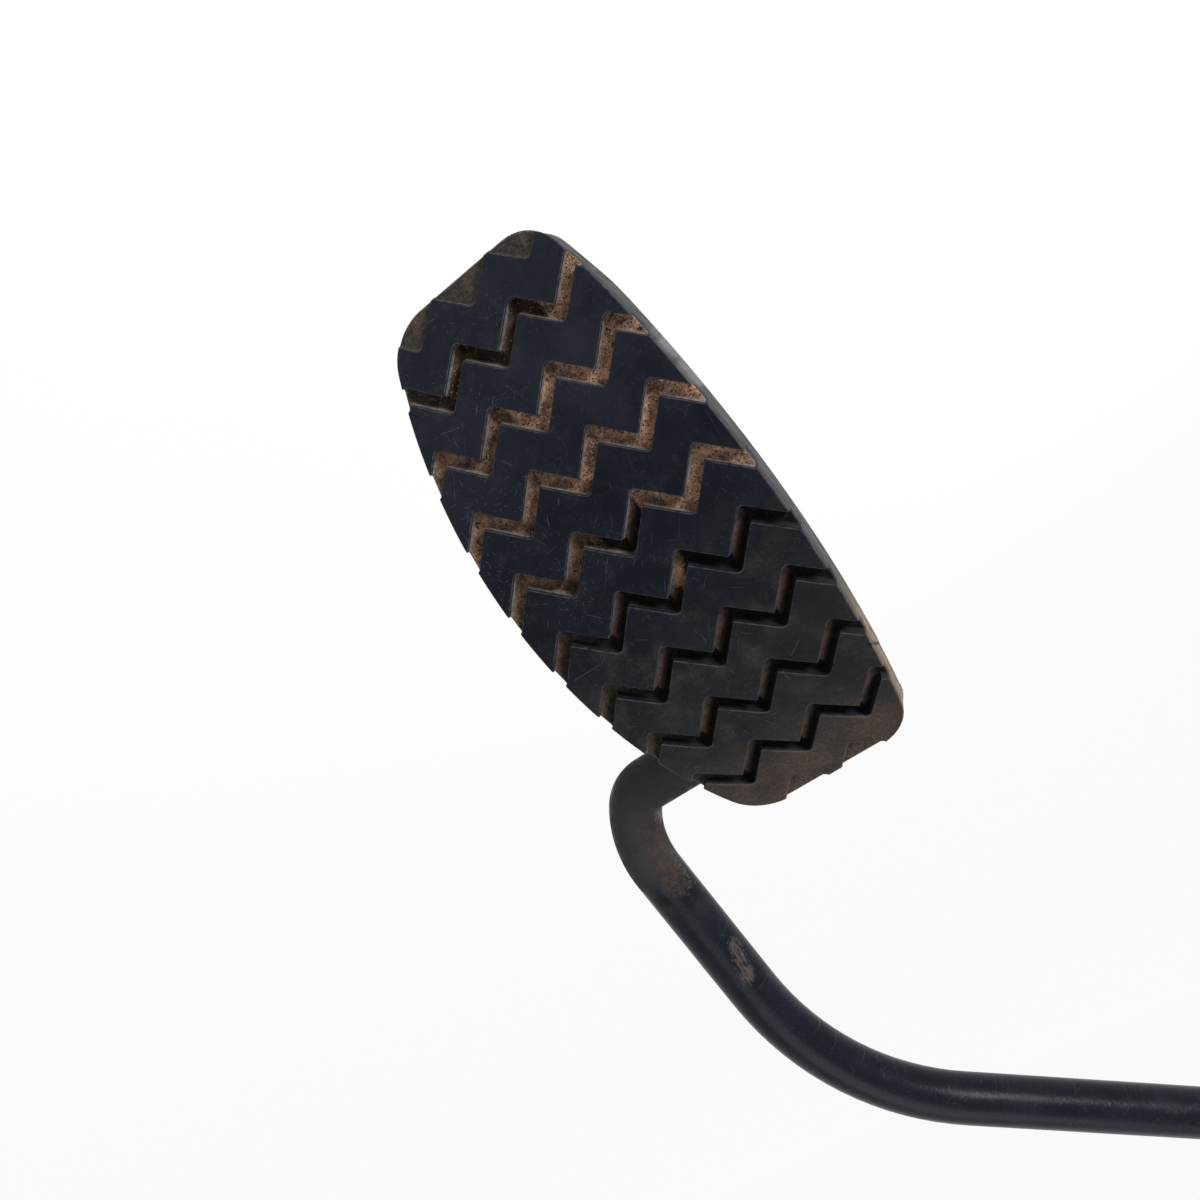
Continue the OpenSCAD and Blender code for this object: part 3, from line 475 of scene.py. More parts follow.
    # Painted light and shade on the groove walls: walls that face one way along the pad, towards the light,
    # get a lit brown that is partly dirt and partly painted light; the other walls get a near-black painted
    # shade
    facing = f.vector("DOT_PRODUCT", f.add("ShaderNodeTexCoord").outputs["Normal"],
                      tuple(pad_to_row.col[1].xyz), 1)
    brown = f.mix(f.patches(0.30, 0.65, 0.8, 5.0, 0.65), (0.045, 0.033, 0.027), (0.110, 0.080, 0.062))
    wall_dirt_light_and_shade = f.mix(f.band(facing, 0.15, 0.45), (0.017, 0.017, 0.019), brown)
    wall_dirt_light_and_shade = f.mix(f.band(wavy, 8.0, -4.0), wall_dirt_light_and_shade, f.gritty((0.090, 0.078, 0.070), (0.240, 0.200, 0.170)))
    colour = f.coat(colour, f.band(floor, 0.03, 0.14), 0.85, wall_dirt_light_and_shade)
    colour = f.mix(f.band(floor, 0.30, 0.80), colour, soil)

    # The long sides: grey and striated on one side, with tan dust towards the hinge end, and a painted
    # highlight in a strip nearer the other end
    streaks = f.noise(f.stretch(at, (1.0, 0.10, 3.2)), 1.5, 5.0, 0.65)
    side = f.mix(f.band(streaks, 0.36, 0.64), (0.018, 0.018, 0.020), (0.110, 0.107, 0.106))
    tan = f.blend(f.patches(0.36, 0.58, 0.45, 6.0, 0.7), 0.45, 0.95)
    tan = f.times(f.band(f.plus(y, f.times(streaks, 14.0)), 24.0, 40.0), tan)
    tan_dust = f.mix(f.patches(0.36, 0.62, 1.8, 5.0, 0.75), (0.105, 0.078, 0.058), (0.260, 0.195, 0.145))
    side = f.mix(tan, side, tan_dust)
    # A painted highlight: a pale grey strip along the upper part of one long side, where light glances off
    # the wall
    painted_highlight = f.marks([((-22.6, -27.0, 0), (-23.4, -16.0, 0))], 1.3, 0.8, plan)
    side = f.coat(side, painted_highlight, 0.45, (0.220, 0.225, 0.235))
    crack = f.marks([((-20.0, 32.7, -6.1), (-20.4, 36.2, -14.0))], 0.38, 1.2)
    colour = f.mix(wall, colour, side)
    colour = f.coat(colour, crack, 0.9, (0.004, 0.004, 0.004))

    rough = f.most(f.blend(f.band(cloud, 0.3, 0.7), 0.56, 0.70), f.times(f.most(floor, dusty_end), 0.92))
    f.varied(Base_Color=colour, Roughness=rough)
    f.plain(Specular_IOR_Level=0.07)
    pits = f.patches(0.66, 0.76, 1.1, 2.0)
    soil_height = f.times(f.noise(at, 2.2, 5.0, 0.7), floor)
    f.bumped((f.noise(at, 0.22, 3.0), 0.35), (speckle, 0.04), (f.minus(pits), 0.06),
             (f.minus(f.most(fine, cuts, crack)), 0.05), (soil_height, 0.5),
             (f.times(streaks, wall), 0.25))
    return f.material


def make_grit_finish():
    """Grains of dried soil and rust, each with its own tone."""
    f = Finish("grit_finish", pad_to_row)
    tone = f.attribute("tone")
    colour = f.mix(f.band(tone, 0.15, 0.60), (0.030, 0.020, 0.016), (0.340, 0.195, 0.125))
    colour = f.mix(f.band(tone, 0.75, 1.0), colour, (0.500, 0.350, 0.255))
    fine = f.noise(f.position, 6.0, 3.0)
    f.varied(Base_Color=f.coat(colour, f.band(fine, 0.35, 0.65), 0.6, (0.090, 0.060, 0.044)))
    f.plain(Roughness=0.95, Specular_IOR_Level=0.2)
    f.bumped((fine, 0.05))
    return f.material


def make_rod_finish():
    """Satin black paint, greyer at the crook, with rust inside the bends and a few scuffs."""
    f = Finish("rod_paint_finish", pad_to_row)
    at = f.position
    cloud = f.noise(at, 0.12, 4.0, 0.6)
    orange_peel = f.noise(at, 1.4, 2.0)
    speckle = f.noise(at, 3.0, 4.0, 0.7)
    colour = f.mix(f.band(cloud, 0.3, 0.7), (0.0030, 0.0041, 0.0078), (0.0056, 0.0069, 0.0118))
    crook = f.marks([((24.0, 37.9, -19.0), (38.0, 44.0, -19.0)), ((38.0, 44.0, -19.0), (38.5, 46.0, -19.0))],
                    15.0, 0.12)
    crook = f.times(crook, f.blend(f.patches(0.36, 0.60, 0.30, 5.0, 0.65), 0.55, 1.0))
    colour = f.coat(colour, crook, 0.75, (0.0360, 0.0335, 0.0325))
    colour = f.coat(colour, f.band(speckle, 0.60, 0.78), 0.25, (0.040, 0.038, 0.038))
    soil = f.effect(rust, Position=at, Scale=1.1, Brightness=0.40)
    rusty = f.marks([((25.0, 42.0, -17.0), (33.5, 43.5, -17.0)), ((34.5, 45.5, -16.5), (36.8, 56.0, -16.0))],
                    3.6, 0.9)
    rusty = f.times(rusty, f.blend(f.patches(0.38, 0.60, 0.9, 5.0, 0.7), 0.30, 1.1), clamp=True)
    thin = f.marks([((37.0, 58.0, -16.0), (37.6, 64.0, -16.0))], 2.4, 1.2)
    drawn = f.band(f.noise(f.stretch(at, (2.6, 0.5, 2.6)), 1.0, 3.0, 0.6), 0.34, 0.60)
    scuff = f.times(f.marks([((36.6, 73.0, -17.3), (38.0, 79.5, -16.0))], 1.9, 2.2), drawn)
    flakes = f.grimy(0.55, 0.02)
    stain = f.most(f.times(rusty, 0.55), f.times(thin, 0.05), f.times(flakes, 0.12))
    colour = f.mix(stain, colour, f.mix(0.25, soil["Color"], (0.046, 0.030, 0.021)))
    colour = f.coat(colour, scuff, 0.6, (0.095, 0.080, 0.071))
    fine = f.effect(scratches, Position=at, Amount=0.45)["Mask"]
    colour = f.mix(fine, colour, (0.060, 0.062, 0.068))
    rough = f.most(f.blend(f.band(cloud, 0.3, 0.7), 0.24, 0.32), f.times(f.most(stain, crook), 0.8))
    f.varied(Base_Color=colour, Roughness=rough)
    f.plain(Specular_IOR_Level=0.10)
    f.bumped((orange_peel, 0.03), (speckle, 0.012), (f.times(soil["Height"], stain), 0.35),
             (f.minus(fine), 0.03))
    return f.material


def make_painted_finish(name, low, high, wear):
    """Satin paint with worn edges that show dull steel and a little rust, and thin dust."""
    f = Finish(name)
    at = f.position
    cloud = f.noise(at, 0.10, 4.0, 0.6)
    peel = f.noise(at, 1.3, 2.0)
    colour = f.mix(f.band(cloud, 0.3, 0.7), low, high)
    soil = f.effect(rust, Position=at, Scale=0.9)
    dust = f.grimy(0.25, 0.16)
    colour = f.coat(colour, dust, 0.22, (0.090, 0.072, 0.058))
    spots = f.grimy(0.7, 0.03)
    colour = f.coat(colour, spots, 0.7, soil["Color"])
    worn = f.worn(0.55, wear)
    bare = f.mix(f.patches(0.45, 0.6, 0.8, 3.0), (0.26, 0.25, 0.24), soil["Color"])
    colour = f.mix(worn, colour, bare)
    rough = f.most(f.blend(cloud, 0.36, 0.50), f.times(f.most(spots, dust), 0.75))
    f.varied(Base_Color=colour, Roughness=rough, Metallic=f.times(worn, 0.6))
    f.plain(Specular_IOR_Level=0.28)
    f.bumped((peel, 0.04), (f.times(soil["Height"], spots), 0.25), (f.minus(worn), 0.05))
    return f.material


def make_steel_finish(name, tone, rustiness, rough):
    """Bare steel with drawn lines and rust that starts in patches."""
    f = Finish(name)
    at = f.position
    lines = f.noise(f.stretch(at, (0.25, 3.0, 3.0)), 1.2, 3.0, 0.6)
    cloud = f.noise(at, 0.16, 4.0, 0.6)
    soil = f.effect(rust, Position=at, Scale=0.9)
    broad = f.grimy(0.10, rustiness - 0.03)
    spots = f.grimy(0.9, rustiness - 0.10)
    patches = f.most(f.times(broad, f.blend(lines, 0.5, 1.0)), f.times(spots, 0.75))
    dark = tuple(0.62 * c for c in tone)
    colour = f.mix(f.band(f.plus(f.times(lines, 0.5), f.times(cloud, 0.5)), 0.36, 0.62), dark, tone)
    colour = f.coat(colour, patches, 0.85, soil["Color"])
    worn = f.worn(0.8, 0.8)
    colour = f.coat(colour, worn, 0.5, tuple(min(1.0, 1.35 * c) for c in tone))
    rough = f.blend(patches, f.blend(cloud, rough, rough + 0.14), 0.85)
    f.varied(Base_Color=colour, Roughness=rough, Metallic=f.blend(patches, 0.95, 0.15))
    f.bumped((lines, 0.02), (f.times(soil["Height"], patches), 0.18))
    return f.material


def make_plated_finish():
    """Yellow passivated zinc with faint rainbow drift and white bloom."""
    f = Finish("plated_finish")
    at = f.position
    drift = f.noise(at, 0.22, 3.0, 0.5)
    colour = f.mix(f.band(drift, 0.32, 0.52), (0.46, 0.36, 0.17), (0.56, 0.47, 0.30))
    colour = f.coat(colour, f.band(drift, 0.52, 0.68), 0.5, (0.48, 0.40, 0.38))
    bloom = f.grimy(0.6, 0.08)
    colour = f.coat(colour, bloom, 0.6, (0.50, 0.49, 0.46))
    worn = f.worn(0.9, 0.8)
    colour = f.coat(colour, worn, 0.7, (0.40, 0.38, 0.35))
    rough = f.blend(f.most(bloom, drift), 0.24, 0.55)
    f.varied(Base_Color=colour, Roughness=rough, Metallic=f.blend(bloom, 0.95, 0.4))
    f.bumped((f.noise(at, 3.0, 3.0), 0.012))
    return f.material


def make_nylon_finish():
    """Natural nylon, slightly yellowed, with patches of grease and dust."""
    f = Finish("nylon_finish")
    at = f.position
    cloud = f.noise(at, 0.3, 4.0, 0.6)
    colour = f.mix(f.band(cloud, 0.3, 0.7), (0.60, 0.56, 0.46), (0.70, 0.67, 0.58))
    dirt = f.grimy(0.45, 0.12)
    colour = f.coat(colour, dirt, 0.55, (0.16, 0.12, 0.085))
    f.varied(Base_Color=colour, Roughness=f.blend(dirt, 0.38, 0.62))
    f.plain(Subsurface_Weight=0.15, Subsurface_Scale=0.0015)
    f.bumped((f.noise(at, 1.8, 3.0), 0.02), (dirt, 0.03))
    return f.material


def make_buffer_finish():
    """Matt black rubber with a grey bloom."""
    f = Finish("buffer_rubber_finish")
    at = f.position
    grain = f.noise(at, 3.2, 4.0, 0.7)
    bloom = f.grimy(0.4, 0.15)
    colour = f.mix(f.band(grain, 0.4, 0.7), (0.012, 0.012, 0.013), (0.024, 0.024, 0.025))
    colour = f.coat(colour, bloom, 0.4, (0.070, 0.066, 0.062))
    f.varied(Base_Color=colour, Roughness=f.blend(bloom, 0.62, 0.85))
    f.plain(Specular_IOR_Level=0.22)
    f.bumped((grain, 0.04))
    return f.material


# ---- Meshes

def new_piece(name, source, to_row=None):
    """An object at the origin made of a bmesh or a mesh. A matrix takes its millimetres to the row frame."""
    if isinstance(source, bmesh.types.BMesh):
        mesh = bpy.data.meshes.new(name)
        source.to_mesh(mesh)
        source.free()
    else:
        mesh = source
    if to_row is not None:
        mesh.transform(Matrix.Scale(MM, 4) @ to_row)
    piece = bpy.data.objects.new(name, mesh)
    SCENE.collection.objects.link(piece)
    return piece


def applied(piece):
    """The mesh of an object with its modifiers applied."""
    return bpy.data.meshes.new_from_object(piece.evaluated_get(bpy.context.evaluated_depsgraph_get()))


def shade(mesh, angle):
    """Smooth faces, with hard edges only where they meet at more than the angle."""
    mesh.shade_smooth()
    mesh.set_sharp_from_angle(angle=math.radians(angle))


def paint(piece, material):
    piece.data.materials.clear()
    piece.data.materials.append(material)


def store(mesh, name, values):
    mesh.attributes.new(name, "FLOAT", "POINT").data.foreach_set("value", np.asarray(values, np.float32))


def bow_height(radius, y):
    return math.sqrt(radius ** 2 - y ** 2) - BOW_RADIUS


# Centres of the outline's arcs in plan, and the angle at which a side passes into its corner
SIDE_CENTRE = SIDE_RADIUS - PAD_WIDTH / 2
CORNER_Y = PAD_LENGTH / 2 - CORNER_RADIUS
CORNER_X = math.sqrt((SIDE_RADIUS - CORNER_RADIUS) ** 2 - CORNER_Y ** 2) - SIDE_CENTRE
CORNER_TURN = math.atan2(CORNER_Y, CORNER_X + SIDE_CENTRE)


def outline(inset):
    """The pad's outline in plan, moved inwards, as points anticlockwise."""
    side_steps, corner_steps = 36, 10
    side, corner = SIDE_RADIUS - inset, CORNER_RADIUS - inset
    right = []
    for centre, radius, start, end, steps in (
            ((CORNER_X, -CORNER_Y), corner, -math.pi / 2, -CORNER_TURN, corner_steps),
            ((-SIDE_CENTRE, 0), side, -CORNER_TURN, CORNER_TURN, side_steps),
            ((CORNER_X, CORNER_Y), corner, CORNER_TURN, math.pi / 2, corner_steps)):
        for i in range(steps + 1):
            a = start + (end - start) * i / steps
            right.append((centre[0] + radius * math.cos(a), centre[1] + radius * math.sin(a)))
    right = [p for i, p in enumerate(right) if i == 0 or math.dist(p, right[i - 1]) > 1e-6]
    return right + [(-px, py) for px, py in reversed(right)]


def outward(px, py):
    """The way out of the outline at a point on or near it."""
    if abs(py) > CORNER_Y and abs(px) < CORNER_X:
        return Vector((0, math.copysign(1, py)))
    if abs(py) > CORNER_Y and math.atan2(abs(py) - CORNER_Y, abs(px) - CORNER_X) > CORNER_TURN:
        return Vector((px - math.copysign(CORNER_X, px), py - math.copysign(CORNER_Y, py))).normalized()
    return Vector((px + math.copysign(SIDE_CENTRE, px), py)).normalized()


def zigzag(px, peak_radius, valley_radius):
    """Height of the zigzag line at px, with its peaks and its valleys rounded."""
    half = ZIGZAG_PITCH / 2
    nearest = round(px / half)
    gap = abs(px - nearest * half)
    radius = peak_radius if nearest % 2 == 0 else valley_radius
    if gap < radius / math.sqrt(2):
        below = radius * math.sqrt(2) - math.sqrt(radius ** 2 - gap ** 2)
    else:
        below = gap
    return (1 if nearest % 2 == 0 else -1) * (half / 2 - below)


def tread_rows():
    """Rows across the tread: place along the pad, depth, which wall they follow, edge and floor values."""
    top_round, foot_round, draft = 0.30, 0.55, 0.10
    shoulder, centre_gap, blocks = 0.9, 0.35, 5
    section = [(-shoulder, 0, 0.0, 0)]
    for step in range(5):
        a = math.radians(22.5 * step)
        edge = 1.0 if 0 < step < 4 else 0.45
        section.append((top_round * (math.sin(a) - 1), top_round / math.sqrt(2) * (1 - math.cos(a)), edge, 0))
    section.append((draft * 0.5, 1.2, 0.0, 0.15))
    for step in range(4):
        a = math.radians(30 * step)
        section.append((draft + foot_round * (1 - math.cos(a)), GROOVE_DEPTH - foot_round * (1 - math.sin(a)),
                        0.0, 0.35 + 0.2 * step))
    half = GROOVE_WIDTH / math.sqrt(2)
    rows = []
    for k in range(GROOVE_COUNT):
        middle = (k - (GROOVE_COUNT - 1) / 2) * GROOVE_PITCH + PATTERN_SHIFT
        if k == 0:
            rows += [(middle - gap, GROOVE_DEPTH, 1.0, 0, 1) for gap in (9, 6, 4, 2)]
        else:
            rows += [(middle - half + gap, depth, 1.0, edge, low) for gap, depth, edge, low in section]
        rows += [(middle - centre_gap, GROOVE_DEPTH, 0.65, 0, 1),
                 (middle + centre_gap, GROOVE_DEPTH, 0.35, 0, 1)]
        if k == GROOVE_COUNT - 1:
            rows += [(middle + gap, GROOVE_DEPTH, 0.0, 0, 1) for gap in (2, 4, 6, 9)]
        else:
            rows += [(middle + half - gap, depth, 0.0, edge, low)
                     for gap, depth, edge, low in reversed(section)]
            inner = GROOVE_PITCH - 2 * (half + shoulder)
            rows += [(middle + half + shoulder + inner * i / blocks, 0, i / blocks, 0, 0)
                     for i in range(1, blocks)]
    return rows


def clip(polygon, start, way):
    """Cuts a polygon by a line in plan: what lies left of its way stays. Corners are (x, y, values...)."""
    def inside(p):
        return way[0] * (p[1] - start[1]) - way[1] * (p[0] - start[0])
    kept = []
    for i, here in enumerate(polygon):
        after = polygon[(i + 1) % len(polygon)]
        d0, d1 = inside(here), inside(after)
        if d0 >= 0:
            kept.append(here)
        if (d0 > 0 > d1) or (d0 < 0 < d1):
            share = d0 / (d0 - d1)
            kept.append(tuple(a + (b - a) * share for a, b in zip(here, after)))
    return kept


# How gritty each groove is, counted from the pad's lower end: shares up to a place across the pad
GRIT = {1: ((-9, 1.0), (30, 0.10)), 2: ((4, 0.95), (30, 0.5)), 3: ((6, 1.0), (30, 0.6)),
        4: ((-5, 0.95), (3, 0.0), (30, 0.3))}
# The one lump of dirt in the middle of the pad
LUMP_PLACE, LUMP_RADIUS, LUMP_DEPTH = (-3.4, 5.4), 3.4, 2.6
# Dirt lies below this depth of a groove, and is banked up this thick against one wall
DIRT_FROM, BANK_DEPTH = 0.6, 0.8
# Radii of the zigzag's outer and inner corners
OUTER_CORNER, INNER_CORNER = 1.1, 0.15
# The pad's worn corner, and how far its top and its side are worn back there, each within a reach
WORN_CORNER = -Vector((CORNER_X + CORNER_RADIUS / math.sqrt(2), CORNER_Y + CORNER_RADIUS / math.sqrt(2)))
WORN_TOP, WORN_SIDE = (0.5, 14), (0.8, 16)


def grit_share(x, y):
    """How much grit lies in the groove at a place on the tread, from 0 to 1."""
    groove = round((y - PATTERN_SHIFT) / GROOVE_PITCH + (GROOVE_COUNT - 1) / 2)
    return next((share for limit, share in GRIT.get(groove, ()) if x < limit), 0.0)


def step_between(value, low, high):
    """0 at low, 1 at high and straight between them, in either order."""
    return min(1.0, max(0.0, (value - low) / (high - low)))


def dirt_depth(x, y):
    """How thick the dirt lies in a groove: most where it is gritty and in the mouths on one side."""
    ripple = 0.75 + 0.25 * math.sin(0.9 * x + 0.4 * y) * math.sin(0.37 * x - 0.8 * y)
    gritty = 0.95 * grit_share(x, y) * ripple
    edge_x = math.sqrt(max(0.0, SIDE_RADIUS ** 2 - y ** 2)) - SIDE_CENTRE
    mouths = 1.5 * step_between(x, edge_x - 2.2, edge_x - 0.4)
    ends = max(2.1 * step_between(y, -45, -47.5), 1.2 * step_between(y, 47.5, 50))
    lump = LUMP_DEPTH * max(0.0, 1 - math.dist((x, y), LUMP_PLACE) / LUMP_RADIUS) * ripple
    return max(gritty, mouths, ends, lump)


def bank_share(x, follow, low):
    """Where dirt is banked up in a groove: against the wall that faces the worn side of the pad."""
    step = 0.4
    before, after = (zigzag(x + side * step, INNER_CORNER, INNER_CORNER) for side in (-1, 1))
    slope = (after - before) / (2 * step)
    return max(0.0, slope) * step_between(follow, 0.4, 1.0) * min(1.0, 4 * low)


def worn_back(place, wear):
    """How far the pad is worn back at a place in plan, by its nearness to the worn corner."""
    depth, reach = wear
    return depth * max(0.0, 1 - (place - WORN_CORNER).length / reach)


def make_tread(material):
    """The rubber tread in one closed skin: blocks between zigzag grooves, sides, lip and its channel."""
    rim = 0.30
    offsets = (0, 0.11, 0.3, 0.55, 0.78, 1.3, 2.1)
    half_pitch = ZIGZAG_PITCH / 2
    columns = sorted({round(k * half_pitch + sign * gap, 4)
                      for k in range(-4, 5) for gap in (*offsets, half_pitch / 2) for sign in (-1, 1)})
    columns = [x for x in columns if abs(x) < PAD_WIDTH / 2 + 0.8]
    rows = tread_rows()
    below = {x: zigzag(x, OUTER_CORNER, INNER_CORNER) for x in columns}
    above = {x: zigzag(x, INNER_CORNER, OUTER_CORNER) for x in columns}
    grid = [[(x, v + (1 - follow) * below[x] + follow * above[x], depth, edge, low,
              bank_share(x, follow, low)) for x in columns] for v, depth, follow, edge, low in rows]
    border = []
    for point in outline(rim):
        back = worn_back(Vector(point), WORN_TOP)
        border.append(tuple(Vector(point) - outward(*point) * back))
    lines = [(a, (b[0] - a[0], b[1] - a[1])) for a, b in zip(border, border[1:] + border[:1])]

    places, points, values, faces = {}, [], [], []

    def vertex(corner):
        x, y, depth, edge, low, bank = corner
        dirt = max(dirt_depth(x, y), BANK_DEPTH * bank)
        depth -= dirt * max(0.0, depth - DIRT_FROM) / (GROOVE_DEPTH - DIRT_FROM)
        key = (round(x, 4), round(y, 4), round(depth, 3))
        if key not in places:
            places[key] = len(points)
            points.append(Vector((x, y, bow_height(BOW_RADIUS, y) - depth)))
            values.append((edge, low, 0.0, grit_share(x, y), bank))
        return places[key]

    for lower, upper in zip(grid, grid[1:]):
        for i in range(len(columns) - 1):
            cell = [lower[i], lower[i + 1], upper[i + 1], upper[i]]
            if min(c[1] for c in cell) > PAD_LENGTH / 2 or max(c[1] for c in cell) < -PAD_LENGTH / 2:
                continue
            if any(way[0] * (c[1] - a[1]) - way[1] * (c[0] - a[0]) < 0 for a, way in lines for c in cell):
                for a, way in lines:
                    cell = clip(cell, a, way)
            face = [vertex(c) for c in cell]
            face = [v for j, v in enumerate(face) if v != face[j - 1]]
            if len(face) > 2:
                faces.append(face)

    # The border of the clipped sheet, followed round once
    uses = {}
    for face in faces:
        for a, b in zip(face, face[1:] + face[:1]):
            uses[(a, b)] = True
    onward = {a: b for a, b in uses if (b, a) not in uses}
    loop = [next(iter(onward))]
    while onward[loop[-1]] != loop[0]:
        loop.append(onward[loop[-1]])

    # Rings outwards over the rim, down the side, in under the lip and up into the plate's channel
    quarter = [math.radians(a) for a in (30, 60, 90)]
    rings = [(rim * (1 - math.sin(a)), None, rim * (1 - math.cos(a)), 0.8, 0.3) for a in quarter]
    inner = RIM_W + LIP_REACH
    rings += [(-0.10, PLATE_TOP, 0, 0, 1),
              (-0.25, PLATE_TOP - 1.6, 0, 0, 1),
              (-0.35, PAD_BOTTOM + 0.5, 0, 0.3, 1),
              (-0.22, PAD_BOTTOM + 0.14, 0, 0.6, 1),
              (0.15, PAD_BOTTOM, 0, 0.3, 1),
              (inner - 0.25, PAD_BOTTOM, 0, 0, 0),
              (inner, PAD_BOTTOM + 0.25, 0, 0.5, 0),
              (inner, PLATE_BACK - SEAT_FIT, 0, 0, 0),
              (RIM_W, PLATE_BACK - SEAT_FIT, 0, 0, 0),
              (RIM_W, PLATE_TOP + SEAT_FIT, 0, 0, 0)]
    before = loop
    for inset, radius, drop, edge, wall in rings:
        ring = []
        for v in loop:
            base = points[v]
            out = outward(base.x, base.y)
            behind = bow_height(PLATE_BACK, base.y) - HINGE_Z
            along = (base.y - HINGE_UP) * math.cos(HINGE_TILT) - behind * math.sin(HINGE_TILT)
            notched = abs(along) < NOTCH_HALF
            here_inset, here_radius = inset, radius
            if notched and radius is not None and radius < PLATE_BACK:
                here_radius = PLATE_BACK
                if inset > RIM_W:
                    here_inset = RIM_W
            if wall and radius is not None:
                here_inset += worn_back(base.xy, WORN_SIDE)
            x, y = base.x + out.x * (rim - here_inset), base.y + out.y * (rim - here_inset)
            z = base.z - drop if here_radius is None else bow_height(here_radius, y)
            ring.append(len(points))
            points.append(Vector((x, y, z)))
            values.append((edge, 0.0, wall, 0.0, 0.0))
        for i in range(len(loop)):
            j = (i + 1) % len(loop)
            faces.append((before[j], before[i], ring[i], ring[j]))
        before = ring

    # The skin over the steel plate closes the channel
    flat = [Vector((points[v].x, points[v].y)) for v in before]
    inside = [Vector((x, y)) for x in np.arange(-15, 15.1, 5) for y in np.arange(-45, 45.1, 5)]
    border_edges = [(i, (i + 1) % len(flat)) for i in range(len(flat))]
    made = geometry.delaunay_2d_cdt(flat + inside, border_edges, [], 1, 1e-7)
    number = {}
    for i, place in enumerate(made[0]):
        known = [k for k in made[3][i] if k < len(flat)]
        if known:
            number[i] = before[known[0]]
        else:
            number[i] = len(points)
            points.append(Vector((place.x, place.y, bow_height(PLATE_TOP + SEAT_FIT, place.y))))
            values.append((0.0,) * 5)
    faces += [[number[v] for v in reversed(face)] for face in made[2]]

    mesh = bpy.data.meshes.new("tread_rubber")
    mesh.from_pydata(points, [], faces)
    for k, name in enumerate(("edge", "groove", "wall", "grit", "bank")):
        store(mesh, name, [v[k] for v in values])
    mesh.validate()
    bm = bmesh.new()
    bm.from_mesh(mesh)
    bmesh.ops.remove_doubles(bm, verts=bm.verts, dist=1e-4)
    bmesh.ops.dissolve_degenerate(bm, edges=bm.edges, dist=1e-4)
    bmesh.ops.recalc_face_normals(bm, faces=bm.faces)
    bm.to_mesh(mesh)
    bm.free()
    piece = new_piece("tread_rubber", mesh, pad_to_row)
    shade(mesh, 38)
    paint(piece, material)
    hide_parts("tread_pad")
    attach(piece, "pad")
    return piece


# ---- Geometry nodes

def geometry_tree(name, wire, **kinds):
    """A geometry node tree with named inputs; wire gets their sockets and gives back the result."""
    group = bpy.data.node_groups.new(name, "GeometryNodeTree")
    group.interface.new_socket(name="Geometry", in_out="INPUT", socket_type="NodeSocketGeometry")
    for label, kind in kinds.items():
        group.interface.new_socket(name=label.replace("_", " "), in_out="INPUT",
                                   socket_type="NodeSocket" + kind)
    group.interface.new_socket(name="Geometry", in_out="OUTPUT", socket_type="NodeSocketGeometry")
    tree = Tree(group)
    given = tree.add("NodeGroupInput").outputs
    result = tree.add("NodeGroupOutput")
    tree.links.new(wire(tree, given), result.inputs[0])
    return group


def wire_bar(tree, given):
    """Round bar along a line; the attribute swell narrows or widens it."""
    line = tree.out("GeometryNodeMeshToCurve", {"Mesh": given["Geometry"]})
    swell = tree.out("GeometryNodeInputNamedAttribute", {"Name": "swell"}, data_type="FLOAT")
    line = tree.out("GeometryNodeSetCurveRadius", {"Curve": line, "Radius": swell})
    ring = tree.out("GeometryNodeCurvePrimitiveCircle",
                    {"Resolution": given["Sides"], "Radius": given["Radius"]})
    body = tree.out("GeometryNodeCurveToMesh", {"Curve": line, "Profile Curve": ring, "Fill Caps": True})
    whole = tree.out("GeometryNodeRealizeInstances", {0: body})
    return tree.out("GeometryNodeSetMaterial", {"Geometry": whole, "Material": given["Material"]})


def wire_grains(tree, given):
    """Grains scattered on faces, more where the attribute soil is high, each with a tone of its own."""
    soil = tree.out("GeometryNodeInputNamedAttribute", {"Name": "soil"}, data_type="FLOAT")
    density = tree.times(soil, given["Density"])
    points = tree.add("GeometryNodeDistributePointsOnFaces",
                      {"Mesh": given["Geometry"], "Density": density, "Seed": given["Seed"]})
    grain = tree.out("GeometryNodeMeshIcoSphere", {"Radius": given["Grain Radius"], "Subdivisions": 1})
    turn = tree.out("FunctionNodeRandomValue", {0: (0, 0, 0), 1: (6.28, 6.28, 6.28), "Seed": 5},
                    data_type="FLOAT_VECTOR")
    size = tree.out("FunctionNodeRandomValue", {0: (0.5, 0.5, 0.35), 1: (1.9, 1.5, 1.2), "Seed": 9},
                    data_type="FLOAT_VECTOR")
    placed = tree.out("GeometryNodeInstanceOnPoints", {"Points": points.outputs["Points"], "Instance": grain,
                                                       "Rotation": turn, "Scale": size})
    tone = tree.add("FunctionNodeRandomValue", {2: 0.0, 3: 1.0, "Seed": 3}, data_type="FLOAT").outputs[1]
    named = tree.out("GeometryNodeStoreNamedAttribute", {"Geometry": placed, "Name": "tone", "Value": tone},
                     data_type="FLOAT", domain="INSTANCE")
    whole = tree.out("GeometryNodeRealizeInstances", {0: named})
    return tree.out("GeometryNodeSetMaterial", {"Geometry": whole, "Material": given["Material"]})


def grow(tree, mesh, **inputs):
    """The plain mesh that a geometry tree makes of another mesh."""
    holder = bpy.data.objects.new("holder", mesh)
    SCENE.collection.objects.link(holder)
    modifier = holder.modifiers.new("grow", "NODES")
    modifier.node_group = tree
    for item in tree.interface.items_tree:
        key = item.name.replace(" ", "_")
        if item.in_out == "INPUT" and key in inputs:
            modifier[item.identifier] = inputs[key]
    made = applied(holder)
    bpy.data.objects.remove(holder)
    return made


